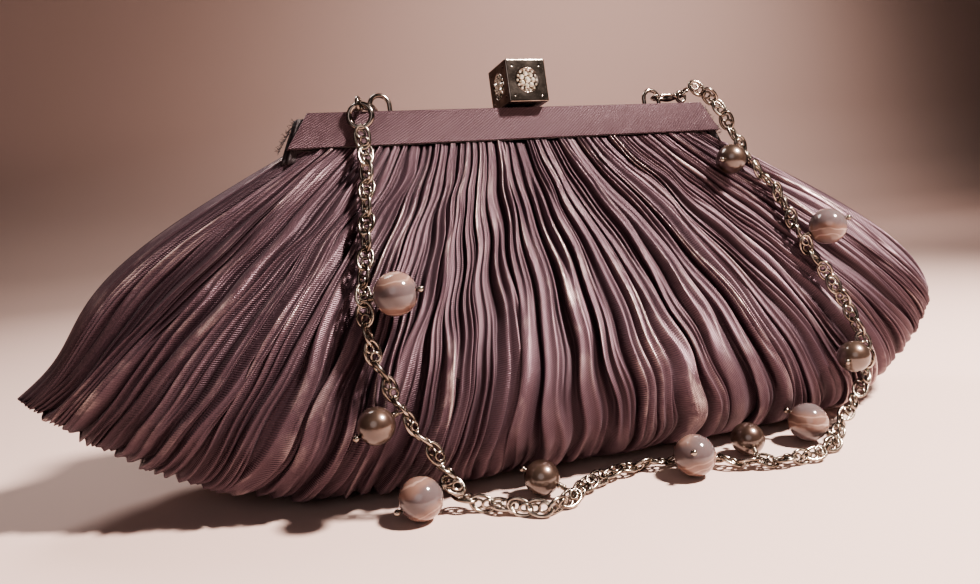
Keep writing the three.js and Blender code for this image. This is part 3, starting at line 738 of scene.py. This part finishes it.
# %% [markdown]
# ## Cloth-covered bands
# Each half of the frame is a steel bar folded into a strip of flat twill satin. Its corners are mitred
# like a parcel's, and the fold along the top is rounded, which a bevel of the CAD solid gives. Beside
# each end the cut edge of the side cloth shows, with its loose threads, each a thin tube.

# %% Band covers
for half, body in (("front", "bag"), ("rear", "rear_half")):
    new_object(f"{half}_band", eased(f"{half}_band_cover", 0.0007, 4), BAND_SATIN, body,
               [f"{half}_band_cover"])


def gusset(name, sign):
    """The cut end of the side cloth, pinched in under the band's end, with its loose threads."""
    rows, columns = 14, 22
    down, around = np.meshgrid(np.linspace(0, 1, rows), np.linspace(0, 2 * math.pi, columns, endpoint=False),
                               indexing="ij")
    pucker = 0.8 + 0.2 * np.sin(around * 5 + down * 3)
    x = sign * (70.9 + 5.0 * down + (1.7 + down * 0.6) * np.cos(around) * pucker)
    y = 3.1 + 2.0 * np.sin(around) * pucker
    z = -1.3 - 12.6 * down
    points = np.stack([x, y, z], axis=-1).reshape(-1, 3)
    caps = [tuple(range(columns))[::-1], tuple(range((rows - 1) * columns, rows * columns))]
    parts = [(points, [tuple(f) for f in grid_faces(rows, columns, closed=True)] + caps)]
    for _ in range(110):  # threads that have worked loose from the cut edge
        share = rng.uniform(0, 1)
        start = np.array([sign * (72.0 + 6.2 * share), rng.uniform(1.6, 4.8), -1.2 - 9.4 * share])
        away = np.array([sign * rng.uniform(0.2, 1.4), rng.normal(0, 0.5), rng.normal(-0.1, 0.7)])
        line = start + np.linspace(0, 1, 4)[:, None] * away + rng.normal(0, 0.10, (4, 3))
        parts.append(tube_arrays(line, np.linspace(0.075, 0.03, 4), 4))
    mesh = mesh_from(*joined(*parts), TO_FRAME, name=name)
    return new_object(name, mesh, RAW_EDGE, "bag", [name.replace("_cloth", "")])


for name, sign in (("side_gusset_left_cloth", -1), ("side_gusset_right_cloth", 1)):
    gusset(name, sign)

# %% [markdown]
# ## Cube clasp
# The knob is a polished cube, its edges lightly rounded. A disc of set crystals sits in each open face,
# with four small dimples in the corners round it. The pockets could be painted dark, but a real edge
# catches the light, so they are drilled by a boolean.

# %% The cube
CUBE_SIDE, CUBE_MIDDLE = 13.8, Vector((0, 3.4, 7.6))
FACES = {"front": (0, -1, 0), "rear": (0, 1, 0), "left": (-1, 0, 0), "right": (1, 0, 0), "top": (0, 0, 1)}


def face_place(name):
    """A matrix whose Z points out of a face of the cube, from the middle of that face."""
    out = Vector(FACES[name])
    turn = out.to_track_quat("Z", "Y").to_matrix().to_4x4()
    return TO_FRAME @ Matrix.Translation(CUBE_MIDDLE + out * CUBE_SIDE / 2) @ turn


def cube_knob():
    """The cube with its edges rounded, drilled on every face for the disc and its four dimples."""
    bm = bmesh.new()
    bmesh.ops.create_cube(bm, size=CUBE_SIDE)
    bmesh.ops.bevel(bm, geom=list(bm.edges), offset=0.55, segments=4, profile=0.5, affect="EDGES")
    body = bpy.data.meshes.new("cube_knob")
    bm.to_mesh(body)
    bm.free()
    body.transform(TO_FRAME @ Matrix.Translation(CUBE_MIDDLE))
    drills = []
    for name in FACES:
        place = np.array(face_place(name))
        cuts = [lathe_arrays([[0.001, -0.55], [4.05, -0.55], [4.25, 0.6], [0.001, 0.6]], 48)]
        for sx in (-1, 1):
            for sy in (-1, 1):
                pit, pit_faces = lathe_arrays([[0.001, -0.5], [0.55, 0.05], [0.55, 0.4], [0.001, 0.4]], 10)
                cuts.append((pit + [sx * 4.7, sy * 4.7, 0], pit_faces))
        points, faces = joined(*cuts)
        drills.append((points @ place[:3, :3].T + place[:3, 3], faces))
    tool_mesh = clean(mesh_from(*joined(*drills), name="drills"), 2e-6)
    knob = bpy.data.objects.new("cube", body)
    tool = bpy.data.objects.new("drills", tool_mesh)
    for made in (knob, tool):
        bpy.context.scene.collection.objects.link(made)
    cut = knob.modifiers.new("drill", "BOOLEAN")
    cut.object, cut.operation, cut.solver = tool, "DIFFERENCE", "EXACT"
    evaluated = knob.evaluated_get(bpy.context.evaluated_depsgraph_get())
    mesh = bpy.data.meshes.new_from_object(evaluated)
    for made in (knob, tool):
        bpy.data.objects.remove(made)
    return mesh


knob = new_object("cube", cube_knob(), DARK_NICKEL, "clasp", ["cube_knob"])
print("cube:", triangles(knob), "triangles")

# %% [markdown]
# Each disc holds a middle stone, a ring of seven and an edge of fourteen small ones, each tipped a
# little outwards on the low dome. A loop could copy them, but a tree of Geometry Nodes says the rule
# once, with the sizes as its inputs. A small class writes such trees, for the stones and the chain.

# %% A writer of Geometry Nodes trees
class Nodes:
    """A Geometry Nodes tree written out call by call."""

    def __init__(self, name, numbers=()):
        self.tree = bpy.data.node_groups.new(name, "GeometryNodeTree")
        face = self.tree.interface
        face.new_socket("Geometry", in_out="INPUT", socket_type="NodeSocketGeometry")
        face.new_socket("Geometry", in_out="OUTPUT", socket_type="NodeSocketGeometry")
        self.ids = {}
        for label, kind in numbers:
            made = face.new_socket(label, in_out="INPUT", socket_type="NodeSocket" + kind)
            self.ids[label] = made.identifier
        self.given = self.tree.nodes.new("NodeGroupInput")
        self.result = self.tree.nodes.new("NodeGroupOutput")

    def node(self, kind, inputs=None, **settings):
        made = self.tree.nodes.new(kind)
        for key, value in settings.items():
            setattr(made, key, value)
        for key, value in (inputs or {}).items():
            if isinstance(value, bpy.types.NodeSocket):
                self.tree.links.new(value, made.inputs[key])
            elif isinstance(value, bpy.types.Node):
                self.tree.links.new(value.outputs[0], made.inputs[key])
            else:
                made.inputs[key].default_value = value
        return made

    def take(self, label):
        return self.given.outputs[label]

    def finish(self, geometry, material):
        """Real geometry with its material, as the tree's result."""
        real = self.node("GeometryNodeRealizeInstances", {0: geometry})
        finished = self.node("GeometryNodeSetMaterial", {0: real, "Material": material})
        self.tree.links.new(finished.outputs[0], self.result.inputs[0])

    def run(self, base, name, **numbers):
        """The tree's result on a base mesh, as a plain mesh."""
        made = bpy.data.objects.new(name, base)
        bpy.context.scene.collection.objects.link(made)
        modifier = made.modifiers.new("nodes", "NODES")
        modifier.node_group = self.tree
        for label, value in numbers.items():
            modifier[self.ids[label.replace("_", " ")]] = value
        evaluated = made.evaluated_get(bpy.context.evaluated_depsgraph_get())
        mesh = bpy.data.meshes.new_from_object(evaluated)
        bpy.data.objects.remove(made)
        return mesh


# %% Stones set by Geometry Nodes
def stone_nodes():
    """The base mesh is one cut stone: it is set in the middle, in a ring and in an edge of small ones."""
    nodes = Nodes("set_stones", [("Ring stones", "Int"), ("Ring radius", "Float"), ("Ring size", "Float"),
                                 ("Edge stones", "Int"), ("Edge radius", "Float"), ("Edge size", "Float"),
                                 ("Middle size", "Float"), ("Tilt", "Float")])
    together = nodes.node("GeometryNodeJoinGeometry")
    middle = nodes.node("GeometryNodeTransform", {
        "Geometry": nodes.take("Geometry"), "Translation": (0, 0, 0.12), "Scale": nodes.take("Middle size")})
    nodes.tree.links.new(middle.outputs[0], together.inputs[0])
    lean = nodes.node("ShaderNodeCombineXYZ", {"Y": nodes.take("Tilt")})
    lean = nodes.node("FunctionNodeEulerToRotation", {0: lean})
    for row, height in (("Ring", 0.0), ("Edge", -0.12)):
        circle = nodes.node("GeometryNodeMeshCircle", {"Vertices": nodes.take(f"{row} stones"),
                                                       "Radius": nodes.take(f"{row} radius")})
        circle = nodes.node("GeometryNodeTransform", {"Geometry": circle, "Translation": (0, 0, height)})
        outwards = nodes.node("FunctionNodeAlignRotationToVector", {
            "Vector": nodes.node("GeometryNodeInputPosition")}, axis="X", pivot_axis="Z")
        tipped = nodes.node("FunctionNodeRotateRotation", {"Rotation": outwards, "Rotate By": lean},
                            rotation_space="LOCAL")
        on = nodes.node("GeometryNodeInstanceOnPoints", {
            "Points": circle, "Instance": nodes.take("Geometry"), "Rotation": tipped,
            "Scale": nodes.take(f"{row} size")})
        nodes.tree.links.new(on.outputs[0], together.inputs[0])
    nodes.finish(together, CRYSTAL)
    return nodes


# %% Crystals and their settings
STONES = stone_nodes()


def crystal_mesh(name):
    """A middle stone, seven round it and fourteen small ones at the edge, standing on the face."""
    cut = lathe_arrays([[0.001, 0.42], [0.55, 0.42], [0.98, 0.05], [1.0, -0.1], [0.35, -0.3]], 8)
    stone = mesh_from(*cut, Matrix(), smooth=False, name="cut_stone")
    mesh = STONES.run(stone, "crystals", Ring_stones=7, Ring_radius=2.05, Ring_size=0.86, Edge_stones=14,
                      Edge_radius=3.35, Edge_size=0.42, Middle_size=1.05, Tilt=0.15)
    mesh.transform(face_place(name))
    return mesh


def setting_mesh(name):
    """The disc that the stones are set in, with a fine bead of metal between stones."""
    disc = lathe_arrays([[0.001, -0.25], [3.7, -0.25], [3.86, 0.05], [3.98, 0.05], [4.02, -0.3]], 48)
    grain = lathe_arrays([[0.001, 0.22], [0.16, 0.16], [0.22, 0.0], [0.22, -0.3]], 8)
    beads = []
    for radius, count in ((1.18, 7), (2.85, 14)):
        for k in range(count):
            turn = 2 * math.pi * (k + 0.5) / count
            at = np.array([radius * math.cos(turn), radius * math.sin(turn), 0.1 - 0.05 * radius])
            beads.append((grain[0] + at, grain[1]))
    return mesh_from(*joined(disc, *beads), face_place(name), name="setting")


for face in FACES:
    new_object(f"crystals_{face}", crystal_mesh(face), CRYSTAL, "clasp", [f"crystal_rosette_{face}"])
    new_object(f"crystal_setting_{face}", setting_mesh(face), DARK_NICKEL, "clasp")


# %% The clasp's return spring
def coil(turns, radius, wire, length, steps=26):
    """A helix along X."""
    t = np.linspace(0, turns * 2 * math.pi, int(turns * steps))
    path = np.stack([t / t[-1] * length, radius * np.cos(t), radius * np.sin(t)], axis=-1)
    return tube_arrays(path, wire, 8)


spring_points, spring_faces = coil(3.2, 1.3, 0.2, 1.0)
spring = mesh_from(spring_points, spring_faces, TO_FRAME @ Matrix.Translation((3.5, 4.3, -3.6)))
new_object("clasp_spring_coil", spring, FRAME_STEEL, "bag", ["clasp_spring"])
print("clasp: cube,", len(FACES), "discs of crystals and their settings, spring")

# %% [markdown]
# ## Loops, claws and rings
# Two hoops of wire stand on the frame. A lobster claw hooks each one, and a ring joins its eye to the
# chain. All are bent wire, so each is a tube along a smooth line whose radius changes as the casting
# does. The left ring is heavy and hangs down in front of the band.

# %% Shapes of the fittings
SIDES = {
    "left": {"loop": -46.4, "leg": -1, "turn": math.pi / 3, "height": 1.3, "ring": (3.4, 0.8)},
    "right": {"loop": 51.6, "leg": 1, "turn": math.pi, "height": 3.1, "ring": (2.0, 0.5)},
}


def ring_path(radius, count=40):
    turn = np.linspace(0, 2 * math.pi, count, endpoint=False)
    return np.stack([radius * np.cos(turn), radius * np.sin(turn), np.zeros(count)], axis=-1)


def hoop(middle):
    """Half a ring of wire on two legs, their feet in the frame."""
    turn = np.linspace(math.pi, 0, 25)
    arc = np.stack([middle + 3 * np.cos(turn), np.full(25, 4.6), 2.9 + 3 * np.sin(turn)], axis=-1)
    feet = [[middle - 3, 4.6, -1.0], *arc, [middle + 3, 4.6, -1.0]]
    return tube_arrays(smooth_path(feet, 60), 0.7, 14)


def claw_place(side):
    """Where a claw lies, so that its hook goes through the hoop."""
    hooked = Matrix.Rotation(side["turn"], 4, "Z") @ Vector((9, -0.9, 0))
    at = Vector((side["loop"] + side["leg"] * 3, 4.6, side["height"])) - hooked
    return TO_FRAME @ Matrix.Translation(at) @ Matrix.Rotation(side["turn"], 4, "Z")


def claw_arrays():
    """The hook sweeps round from its swivel neck; a boss beside the neck holds the trigger."""
    line = smooth_path([[2.4, 0, 0], [3.6, -1.2, 0], [5.2, -2.3, 0], [7.4, -2.5, 0], [9.6, -2.4, 0],
                        [11.2, -1.4, 0], [11.85, 0.2, 0], [11.4, 2.2, 0]], 48)
    share = np.linspace(0, 1, 48)
    thick = 0.78 - 0.28 * share + 0.45 * np.exp(-((share - 0.16) / 0.14) ** 2)
    hook = tube_arrays(line, thick, 12)
    boss = tube_arrays(smooth_path([[2.6, -0.2, 0], [3.4, 0.8, 0], [3.7, 2.0, 0]], 12),
                       np.linspace(0.8, 0.62, 12), 12)
    eye = tube_arrays((ring_path(1.8) @ np.array(Matrix.Rotation(math.pi / 2, 3, "X")).T), 0.6, 10, closed=True)
    neck = tube_arrays([[1.7, 0, 0], [2.0, 0, 0], [2.9, 0, 0]], [0.6, 0.85, 0.8], 12)
    return joined(hook, boss, eye, neck)


def trigger_arrays():
    """The sprung bar that shuts the hook, with its thumb piece."""
    line = smooth_path([[4.85, 2.3, 0], [6.2, 2.75, 0], [8.4, 2.6, 0], [10.4, 2.4, 0]], 20)
    thumb = tube_arrays([[5.6, 2.5, 0], [5.5, 3.4, 0], [5.2, 3.9, 0]], [0.35, 0.4, 0.3], 10)
    return joined(tube_arrays(line, np.linspace(0.5, 0.38, 20), 10), thumb)


# %% Fittings in their places
claw_pieces = []
for name, side in SIDES.items():
    loop_mesh = mesh_from(*hoop(side["loop"]), TO_FRAME, name="loop")
    new_object(f"chain_loop_{name}", loop_mesh, DARK_NICKEL, "bag", [f"frame_loop_{name}"])
    place = claw_place(side)
    radius, wire = side["ring"]
    hang = Matrix.Translation((0, 0, -radius)) @ Matrix.Rotation(math.pi / 2, 4, "Y")
    if name == "right":
        hang = Matrix.Rotation(math.pi * 0.75, 4, "Y") @ hang
    ring, ring_faces = tube_arrays(ring_path(radius), wire, 12, closed=True)
    ring = [hang @ Vector(p) for p in ring]
    claw_mesh = clean(mesh_from(*joined(claw_arrays(), (ring, ring_faces)), place))
    claw = new_object(f"claw_and_ring_{name}", claw_mesh, DARK_NICKEL, "bag",
                      [f"claw_body_{name}", f"jump_ring_{name}"])
    trigger = new_object(f"trigger_{name}", clean(mesh_from(*trigger_arrays(), place)), DARK_NICKEL,
                         f"claw_trigger_{name}", [f"claw_trigger_{name}"])
    claw_pieces += [claw, trigger]
print("fittings:", ", ".join(o.name for o in claw_pieces))

# %% [markdown]
# ## Chain
# The chain leaves the left ring, hangs down the front of the bag, lies along the table and goes up to
# the right ring. Its links are flat oblongs with a scroll of wire in each, which tilt one way and the
# other in turn. A physics run could drop it, but it has to meet ten beads and two claws. So the route is
# a smooth line through chosen points, and Geometry Nodes threads the links along it, each rolled a
# little its own way.

# %% The chain's route
ROUTE = [
    [-55, -4.4, 102.6], [-54.9, -6, 98], [-56.1, -8.9, 90.4], [-57.9, -12.8, 82.2], [-59.7, -16.7, 74.1],
    [-61.6, -19.9, 67.2], [-63.3, -22.6, 61], [-64.1, -25.8, 53.6], [-64.1, -28.5, 47.2], [-62.9, -30.7, 41.6],
    [-61.2, -32.6, 36.6], [-59.3, -34.4, 31.6], [-57.2, -35.9, 26.8], [-54.4, -37, 22], [-51.2, -37.8, 17],
    [-48.6, -38, 11], [-46, -37.5, 5.4], [-42.5, -39.8, 2.5], [-36.5, -44.4, 2.4], [-31.9, -49.6, 2.4],
    [-26.4, -52.8, 2.4], [-19.5, -51.2, 2.4], [-11, -45.6, 2.4], [-1.7, -42.2, 2.4], [7.5, -41.4, 2.4],
    [16, -42.8, 2.4], [22.5, -43.8, 2.4], [29, -48.6, 2.4], [35, -55, 2.4], [42.8, -59, 2.4],
    [50.2, -61.4, 2.4], [58, -62, 2.4], [69.5, -58.2, 2.4], [78.5, -51.6, 3.2], [86, -48.2, 6.4],
    [92, -47.2, 11.4], [95.8, -46.6, 17], [97.2, -45.8, 22.6], [96.2, -44.4, 29.2], [94.8, -42.1, 35.9],
    [92.6, -38.7, 43.5], [90.4, -34.8, 50.8], [87.9, -30.1, 58.5], [86.9, -25.4, 66], [86.6, -21.6, 72],
    [86, -17.9, 78], [83.7, -14.4, 83.2], [81.3, -11, 88.4], [80.3, -7.7, 93.3], [79.3, -5, 98],
    [78, -2.6, 103.8], [76, -0.6, 109], [73.4, 1.6, 113], [70.4, 3.4, 115.4],
]
LINK_PITCH = 5.3
route = smooth_path(ROUTE, 600)
chain_length = float(np.linalg.norm(np.diff(route, axis=0), axis=1).sum())
link_count = 2 * round(chain_length / LINK_PITCH / 2) + 1
print(f"chain: {chain_length:.0f} mm long, {link_count} links")


# %% Links threaded by Geometry Nodes
def chain_nodes():
    """Links on the points of a line, which is the base mesh, each along it and facing out."""
    nodes = Nodes("chain_links", [("Count", "Int"), ("Link length", "Float"), ("Link width", "Float"),
                                  ("Wire", "Float"), ("Twist", "Float"), ("Seed", "Int")])
    line = nodes.node("GeometryNodeMeshToCurve", {"Mesh": nodes.take("Geometry")})
    spots = nodes.node("GeometryNodeCurveToPoints", {"Curve": line, "Count": nodes.take("Count")},
                       mode="COUNT")

    def sum_of(first, second, operation="ADD"):
        return nodes.node("ShaderNodeMath", {0: first, 1: second}, operation=operation)

    # A link faces out from the bag where the chain hangs, and up where it lies on the table.
    place = nodes.node("GeometryNodeInputPosition")
    height = nodes.node("ShaderNodeSeparateXYZ", {0: place}).outputs[2]
    hanging = nodes.node("ShaderNodeMapRange", {"Value": height, "From Min": 0.004, "From Max": 0.02})
    outward = nodes.node("ShaderNodeMix", {0: hanging, 4: (0.0, -0.45, 1.0), 5: (0.0, -1.0, 0.3)},
                         data_type="VECTOR")
    faced = nodes.node("FunctionNodeAlignRotationToVector", {"Vector": outward.outputs[1]}, axis="Z")
    along = nodes.node("FunctionNodeAlignRotationToVector",
                       {"Rotation": faced, "Vector": spots.outputs["Tangent"]}, axis="X", pivot_axis="Z")
    index = nodes.node("GeometryNodeInputIndex")
    slow = nodes.node("ShaderNodeMath", {0: sum_of(index, 0.31, "MULTIPLY")}, operation="SINE")
    roll = nodes.node("FunctionNodeRandomValue", {2: -0.30, 3: 0.30, "ID": index,
                                                  "Seed": nodes.take("Seed")}, data_type="FLOAT")
    turn = sum_of(sum_of(slow, nodes.take("Twist"), "MULTIPLY"), roll.outputs[1])
    spin = nodes.node("FunctionNodeAxisAngleToRotation", {"Axis": (1.0, 0.0, 0.0), "Angle": turn})
    rotation = nodes.node("FunctionNodeRotateRotation", {0: along, 1: spin}, rotation_space="LOCAL")
    wire = nodes.node("GeometryNodeCurvePrimitiveCircle", {"Resolution": 6, "Radius": nodes.take("Wire")},
                      mode="RADIUS")
    scroll_wire = nodes.node("GeometryNodeCurvePrimitiveCircle",
                             {"Resolution": 5, "Radius": sum_of(nodes.take("Wire"), 0.85, "MULTIPLY")},
                             mode="RADIUS")

    def link(half_length, half_width, sides, section):
        hoop = nodes.node("GeometryNodeCurvePrimitiveCircle", {"Resolution": sides, "Radius": 1.0},
                          mode="RADIUS")
        size = nodes.node("ShaderNodeCombineXYZ", {0: half_length, 1: half_width, 2: 1.0})
        shaped = nodes.node("GeometryNodeTransform", {0: hoop, "Scale": size})
        return nodes.node("GeometryNodeCurveToMesh", {0: shaped, 1: section})

    half = sum_of(nodes.take("Link length"), 0.5, "MULTIPLY")
    oblong = link(half, sum_of(nodes.take("Link width"), 0.5, "MULTIPLY"), 16, wire)
    scroll = link(sum_of(nodes.take("Link length"), 0.19, "MULTIPLY"),
                  sum_of(nodes.take("Link width"), 0.27, "MULTIPLY"), 10, scroll_wire)
    shift = sum_of(nodes.take("Link length"), 0.17, "MULTIPLY")
    fancy = nodes.node("GeometryNodeJoinGeometry")
    nodes.tree.links.new(oblong.outputs[0], fancy.inputs[0])
    for way in (1.0, -1.0):
        by = nodes.node("ShaderNodeCombineXYZ", {0: sum_of(shift, way, "MULTIPLY"), 1: way * 0.00035,
                                                 2: way * 0.0004})
        half_scroll = nodes.node("GeometryNodeTransform", {0: scroll, "Translation": by,
                                                           "Rotation": (way * 0.25, 0.0, 0.5)})
        nodes.tree.links.new(half_scroll.outputs[0], fancy.inputs[0])
    odd = sum_of(index, 2.0, "MODULO")
    is_odd = nodes.node("FunctionNodeCompare", {0: odd, 1: 0.5}, data_type="FLOAT",
                        operation="GREATER_THAN")
    is_even = nodes.node("FunctionNodeBooleanMath", {0: is_odd}, operation="NOT")
    both = nodes.node("GeometryNodeJoinGeometry")
    for tilt, chosen in ((0.16, is_even), (-0.22, is_odd)):
        tilted = nodes.node("GeometryNodeTransform", {0: fancy, "Rotation": (tilt * 2.4, tilt, 0.0)})
        on = nodes.node("GeometryNodeInstanceOnPoints", {
            "Points": spots, "Selection": chosen, "Instance": tilted, "Rotation": rotation})
        nodes.tree.links.new(on.outputs[0], both.inputs[0])
    nodes.finish(both, CHAIN_METAL)
    return nodes


route_mesh = bpy.data.meshes.new("route")
route_mesh.from_pydata([tuple(p) for p in route], [(i, i + 1) for i in range(len(route) - 1)], [])
route_mesh.transform(TO_BAG)
chain_mesh = chain_nodes().run(route_mesh, "chain", Count=link_count, Link_length=0.0068,
                               Link_width=0.0042, Wire=0.00050, Twist=0.9, Seed=5)
chain_mesh.polygons.foreach_set("use_smooth", np.ones(len(chain_mesh.polygons), bool))
chain = new_object("chain_links", chain_mesh, CHAIN_METAL, "bag", ["chain"])
print("chain:", triangles(chain), "triangles")

# %% [markdown]
# ## Beads
# Each bead is threaded on a headpin: a ball holds it on, and the wire is wrapped into an eye that joins
# the chain. Ball, pin and head are turned shapes, as on a lathe, and the wrap is a helix. The beads turn
# on their pins, on the CAD model's own axes.

# %% Beads and their pins
spins = {j["child"]: j for j in frame["joints"] if j["child"].split("_")[0] in ("agate", "pearl")}
route_in_bag = np.array([TO_BAG @ Vector(p) for p in route])
bead_pieces = []
for name, joint in spins.items():
    agate = name.startswith("agate")
    radius = 6.0 if agate else 5.0
    middle, axis = Vector(joint["pos_m"]), Vector(joint["axis"])
    to_chain = np.linalg.norm(route_in_bag - np.array(middle), axis=1)
    nearest = Vector(route_in_bag[to_chain.argmin()])
    if (nearest - middle).dot(axis) > 0:
        axis = -axis
    reach = to_chain.min() / MM
    turned = axis.to_track_quat("Z", "Y").to_matrix().to_4x4()
    place = Matrix.Translation(middle) @ turned @ Matrix.Scale(MM, 4)
    turn = np.linspace(math.asin(0.6 / radius), math.pi - math.asin(0.6 / radius), 40)
    ball = np.stack([radius * np.sin(turn), -radius * np.cos(turn)], axis=-1)
    hole = [[0.6, ball[-1, 1]], [0.6, ball[0, 1]]]
    bead_mesh = clean(mesh_from(*lathe_arrays([*ball, *hole], 64), place, name=name))
    material = banded_agate(int(name[-1])) if agate else PEARL
    bead = new_object(f"{name}_ball", bead_mesh, material, name, [name])
    stop = radius + 0.25
    head = lathe_arrays([[0.001, stop + 1.75], [0.5, stop + 1.65], [0.85, stop + 1.3], [0.95, stop + 0.85],
                         [0.8, stop + 0.35], [0.4, stop], [0.4, -stop], [0.9, -stop], [0.95, -stop - 0.3],
                         [0.35, -stop - 0.4], [0.35, -reach + 1.6], [0.001, -reach + 1.6]], 20)
    t = np.linspace(0, 3 * 2 * math.pi, 60)
    wrap_length = max(0.6, min(1.6, reach - stop - 2.0))
    wrap = np.stack([0.58 * np.cos(t), 0.58 * np.sin(t), -stop - 0.45 - t / t[-1] * wrap_length], axis=-1)
    eye = ring_path(1.35, 24) @ np.array(Matrix.Rotation(math.pi / 2, 3, "X")).T + [0, 0, -reach + 0.3]
    pin_mesh = mesh_from(*joined(head, tube_arrays(wrap, 0.26, 8), tube_arrays(eye, 0.36, 8, closed=True)),
                         place, name=name + "_pin")
    pin = new_object(f"{name}_headpin", pin_mesh, CHAIN_METAL, "bag", [f"{name}_pin"])
    bead_pieces += [bead, pin]
print("beads:", ", ".join(spins))

# %% [markdown]
# ## The cloth's lengths
# The pleated cloth is three sheets, gathered along the frame. The length of each down the middle of the
# bag is worked out, and nothing more is done with it.


def fall(run):
    """How long the cloth is down the middle of the bag, in metres."""
    line = on_cloth(np.zeros_like(run), run)
    return float(np.linalg.norm(np.diff(line, axis=0), axis=1).sum()) * MM


swinging = rear_run[on_flap(on_cloth(np.zeros_like(rear_run), rear_run), HINGE_DROP + 10)]
for piece, length in ((front_pleats, fall(front_run)), (rear_pleats, fall(rear_run)),
                      (flap_pleats, fall(swinging))):
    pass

# %% [markdown]
# ## Setting
# A plain pale floor that curves up behind the bag, a key light from the upper right, weak lights from
# the left and the rear, and one for the backdrop. The camera stands a little to the left of the bag.

# %% Floor
floor_material, _, _ = new_material("floor", Roughness=0.75, Base_Color=(0.67, 0.515, 0.465))
floor_profile = [(-1.2, 0.0), (0.55, 0.0), (0.67, 0.02), (0.75, 0.08), (0.79, 0.18), (0.80, 1.2)]
floor_points = [(x, back, up) for back, up in floor_profile for x in (-2.5, 2.5)]
floor = bpy.data.objects.new("floor", mesh_from(floor_points, grid_faces(len(floor_profile), 2)))
floor.data.materials.append(floor_material)
bpy.context.scene.collection.objects.link(floor)


# %% Lights
def soft_light(name, place, aim, size, watts, colour, cone=None):
    """A round soft light, or with a cone in degrees a soft-edged spot."""
    light = bpy.data.lights.new(name, "SPOT" if cone else "AREA")
    if cone:
        light.spot_size, light.spot_blend, light.shadow_soft_size = math.radians(cone), 1.0, size / 2
    else:
        light.shape, light.size = "DISK", size
    light.energy, light.color = watts, colour
    made = bpy.data.objects.new(name, light)
    made.location = place
    made.rotation_euler = (Vector(aim) - Vector(place)).to_track_quat("-Z", "Y").to_euler()
    bpy.context.scene.collection.objects.link(made)
    return made


lights = [
    soft_light("key", (0.34, -0.30, 0.62), (0.09, -0.08, 0.0), 0.08, 78.0, (1.0, 0.87, 0.79), cone=84),
    soft_light("fill", (-0.5, -0.8, 0.5), (0.0, -0.1, 0.0), 0.7, 1.2, (1.0, 0.90, 0.90)),
    soft_light("rim", (-0.12, 0.30, 0.50), (0.0, 0.0, 0.09), 0.25, 1.6, (1.0, 0.92, 0.88)),
    soft_light("backdrop", (0.55, 0.0, 0.75), (0.56, 0.75, 0.16), 0.3, 27.0, (1.0, 0.84, 0.77), cone=84),
]
world = bpy.data.worlds.new("room")
world.use_nodes = True
world.node_tree.nodes["Background"].inputs[0].default_value = (0.50, 0.40, 0.37, 1.0)
world.node_tree.nodes["Background"].inputs[1].default_value = 0.11
scene = bpy.context.scene
scene.world = world
print(len(lights), "lights of", [round(made.data.energy, 1) for made in lights], "watts")

# %% Camera
camera = bpy.data.objects.new("camera", bpy.data.cameras.new("camera"))
camera.data.sensor_width, camera.data.lens = 36.0, 27.62
camera.data.clip_start = 0.01
right, up, ahead = (Vector(v) for v in ((0.9141, -0.3998, -0.0667), (0.12, 0.1096, 0.9867),
                                        (0.3872, 0.91, -0.1481)))
camera_place = Vector((-0.113287, -0.215240, 0.08835))
camera.matrix_world = Matrix.Translation(camera_place) @ Matrix((right, up, -ahead)).transposed().to_4x4()
bpy.context.scene.collection.objects.link(camera)
scene.camera = camera
scene.render.resolution_x, scene.render.resolution_y = 980, 584
scene.render.resolution_percentage = 100
scene.view_settings.view_transform = "AgX"
scene.view_settings.look = "AgX - Medium High Contrast"
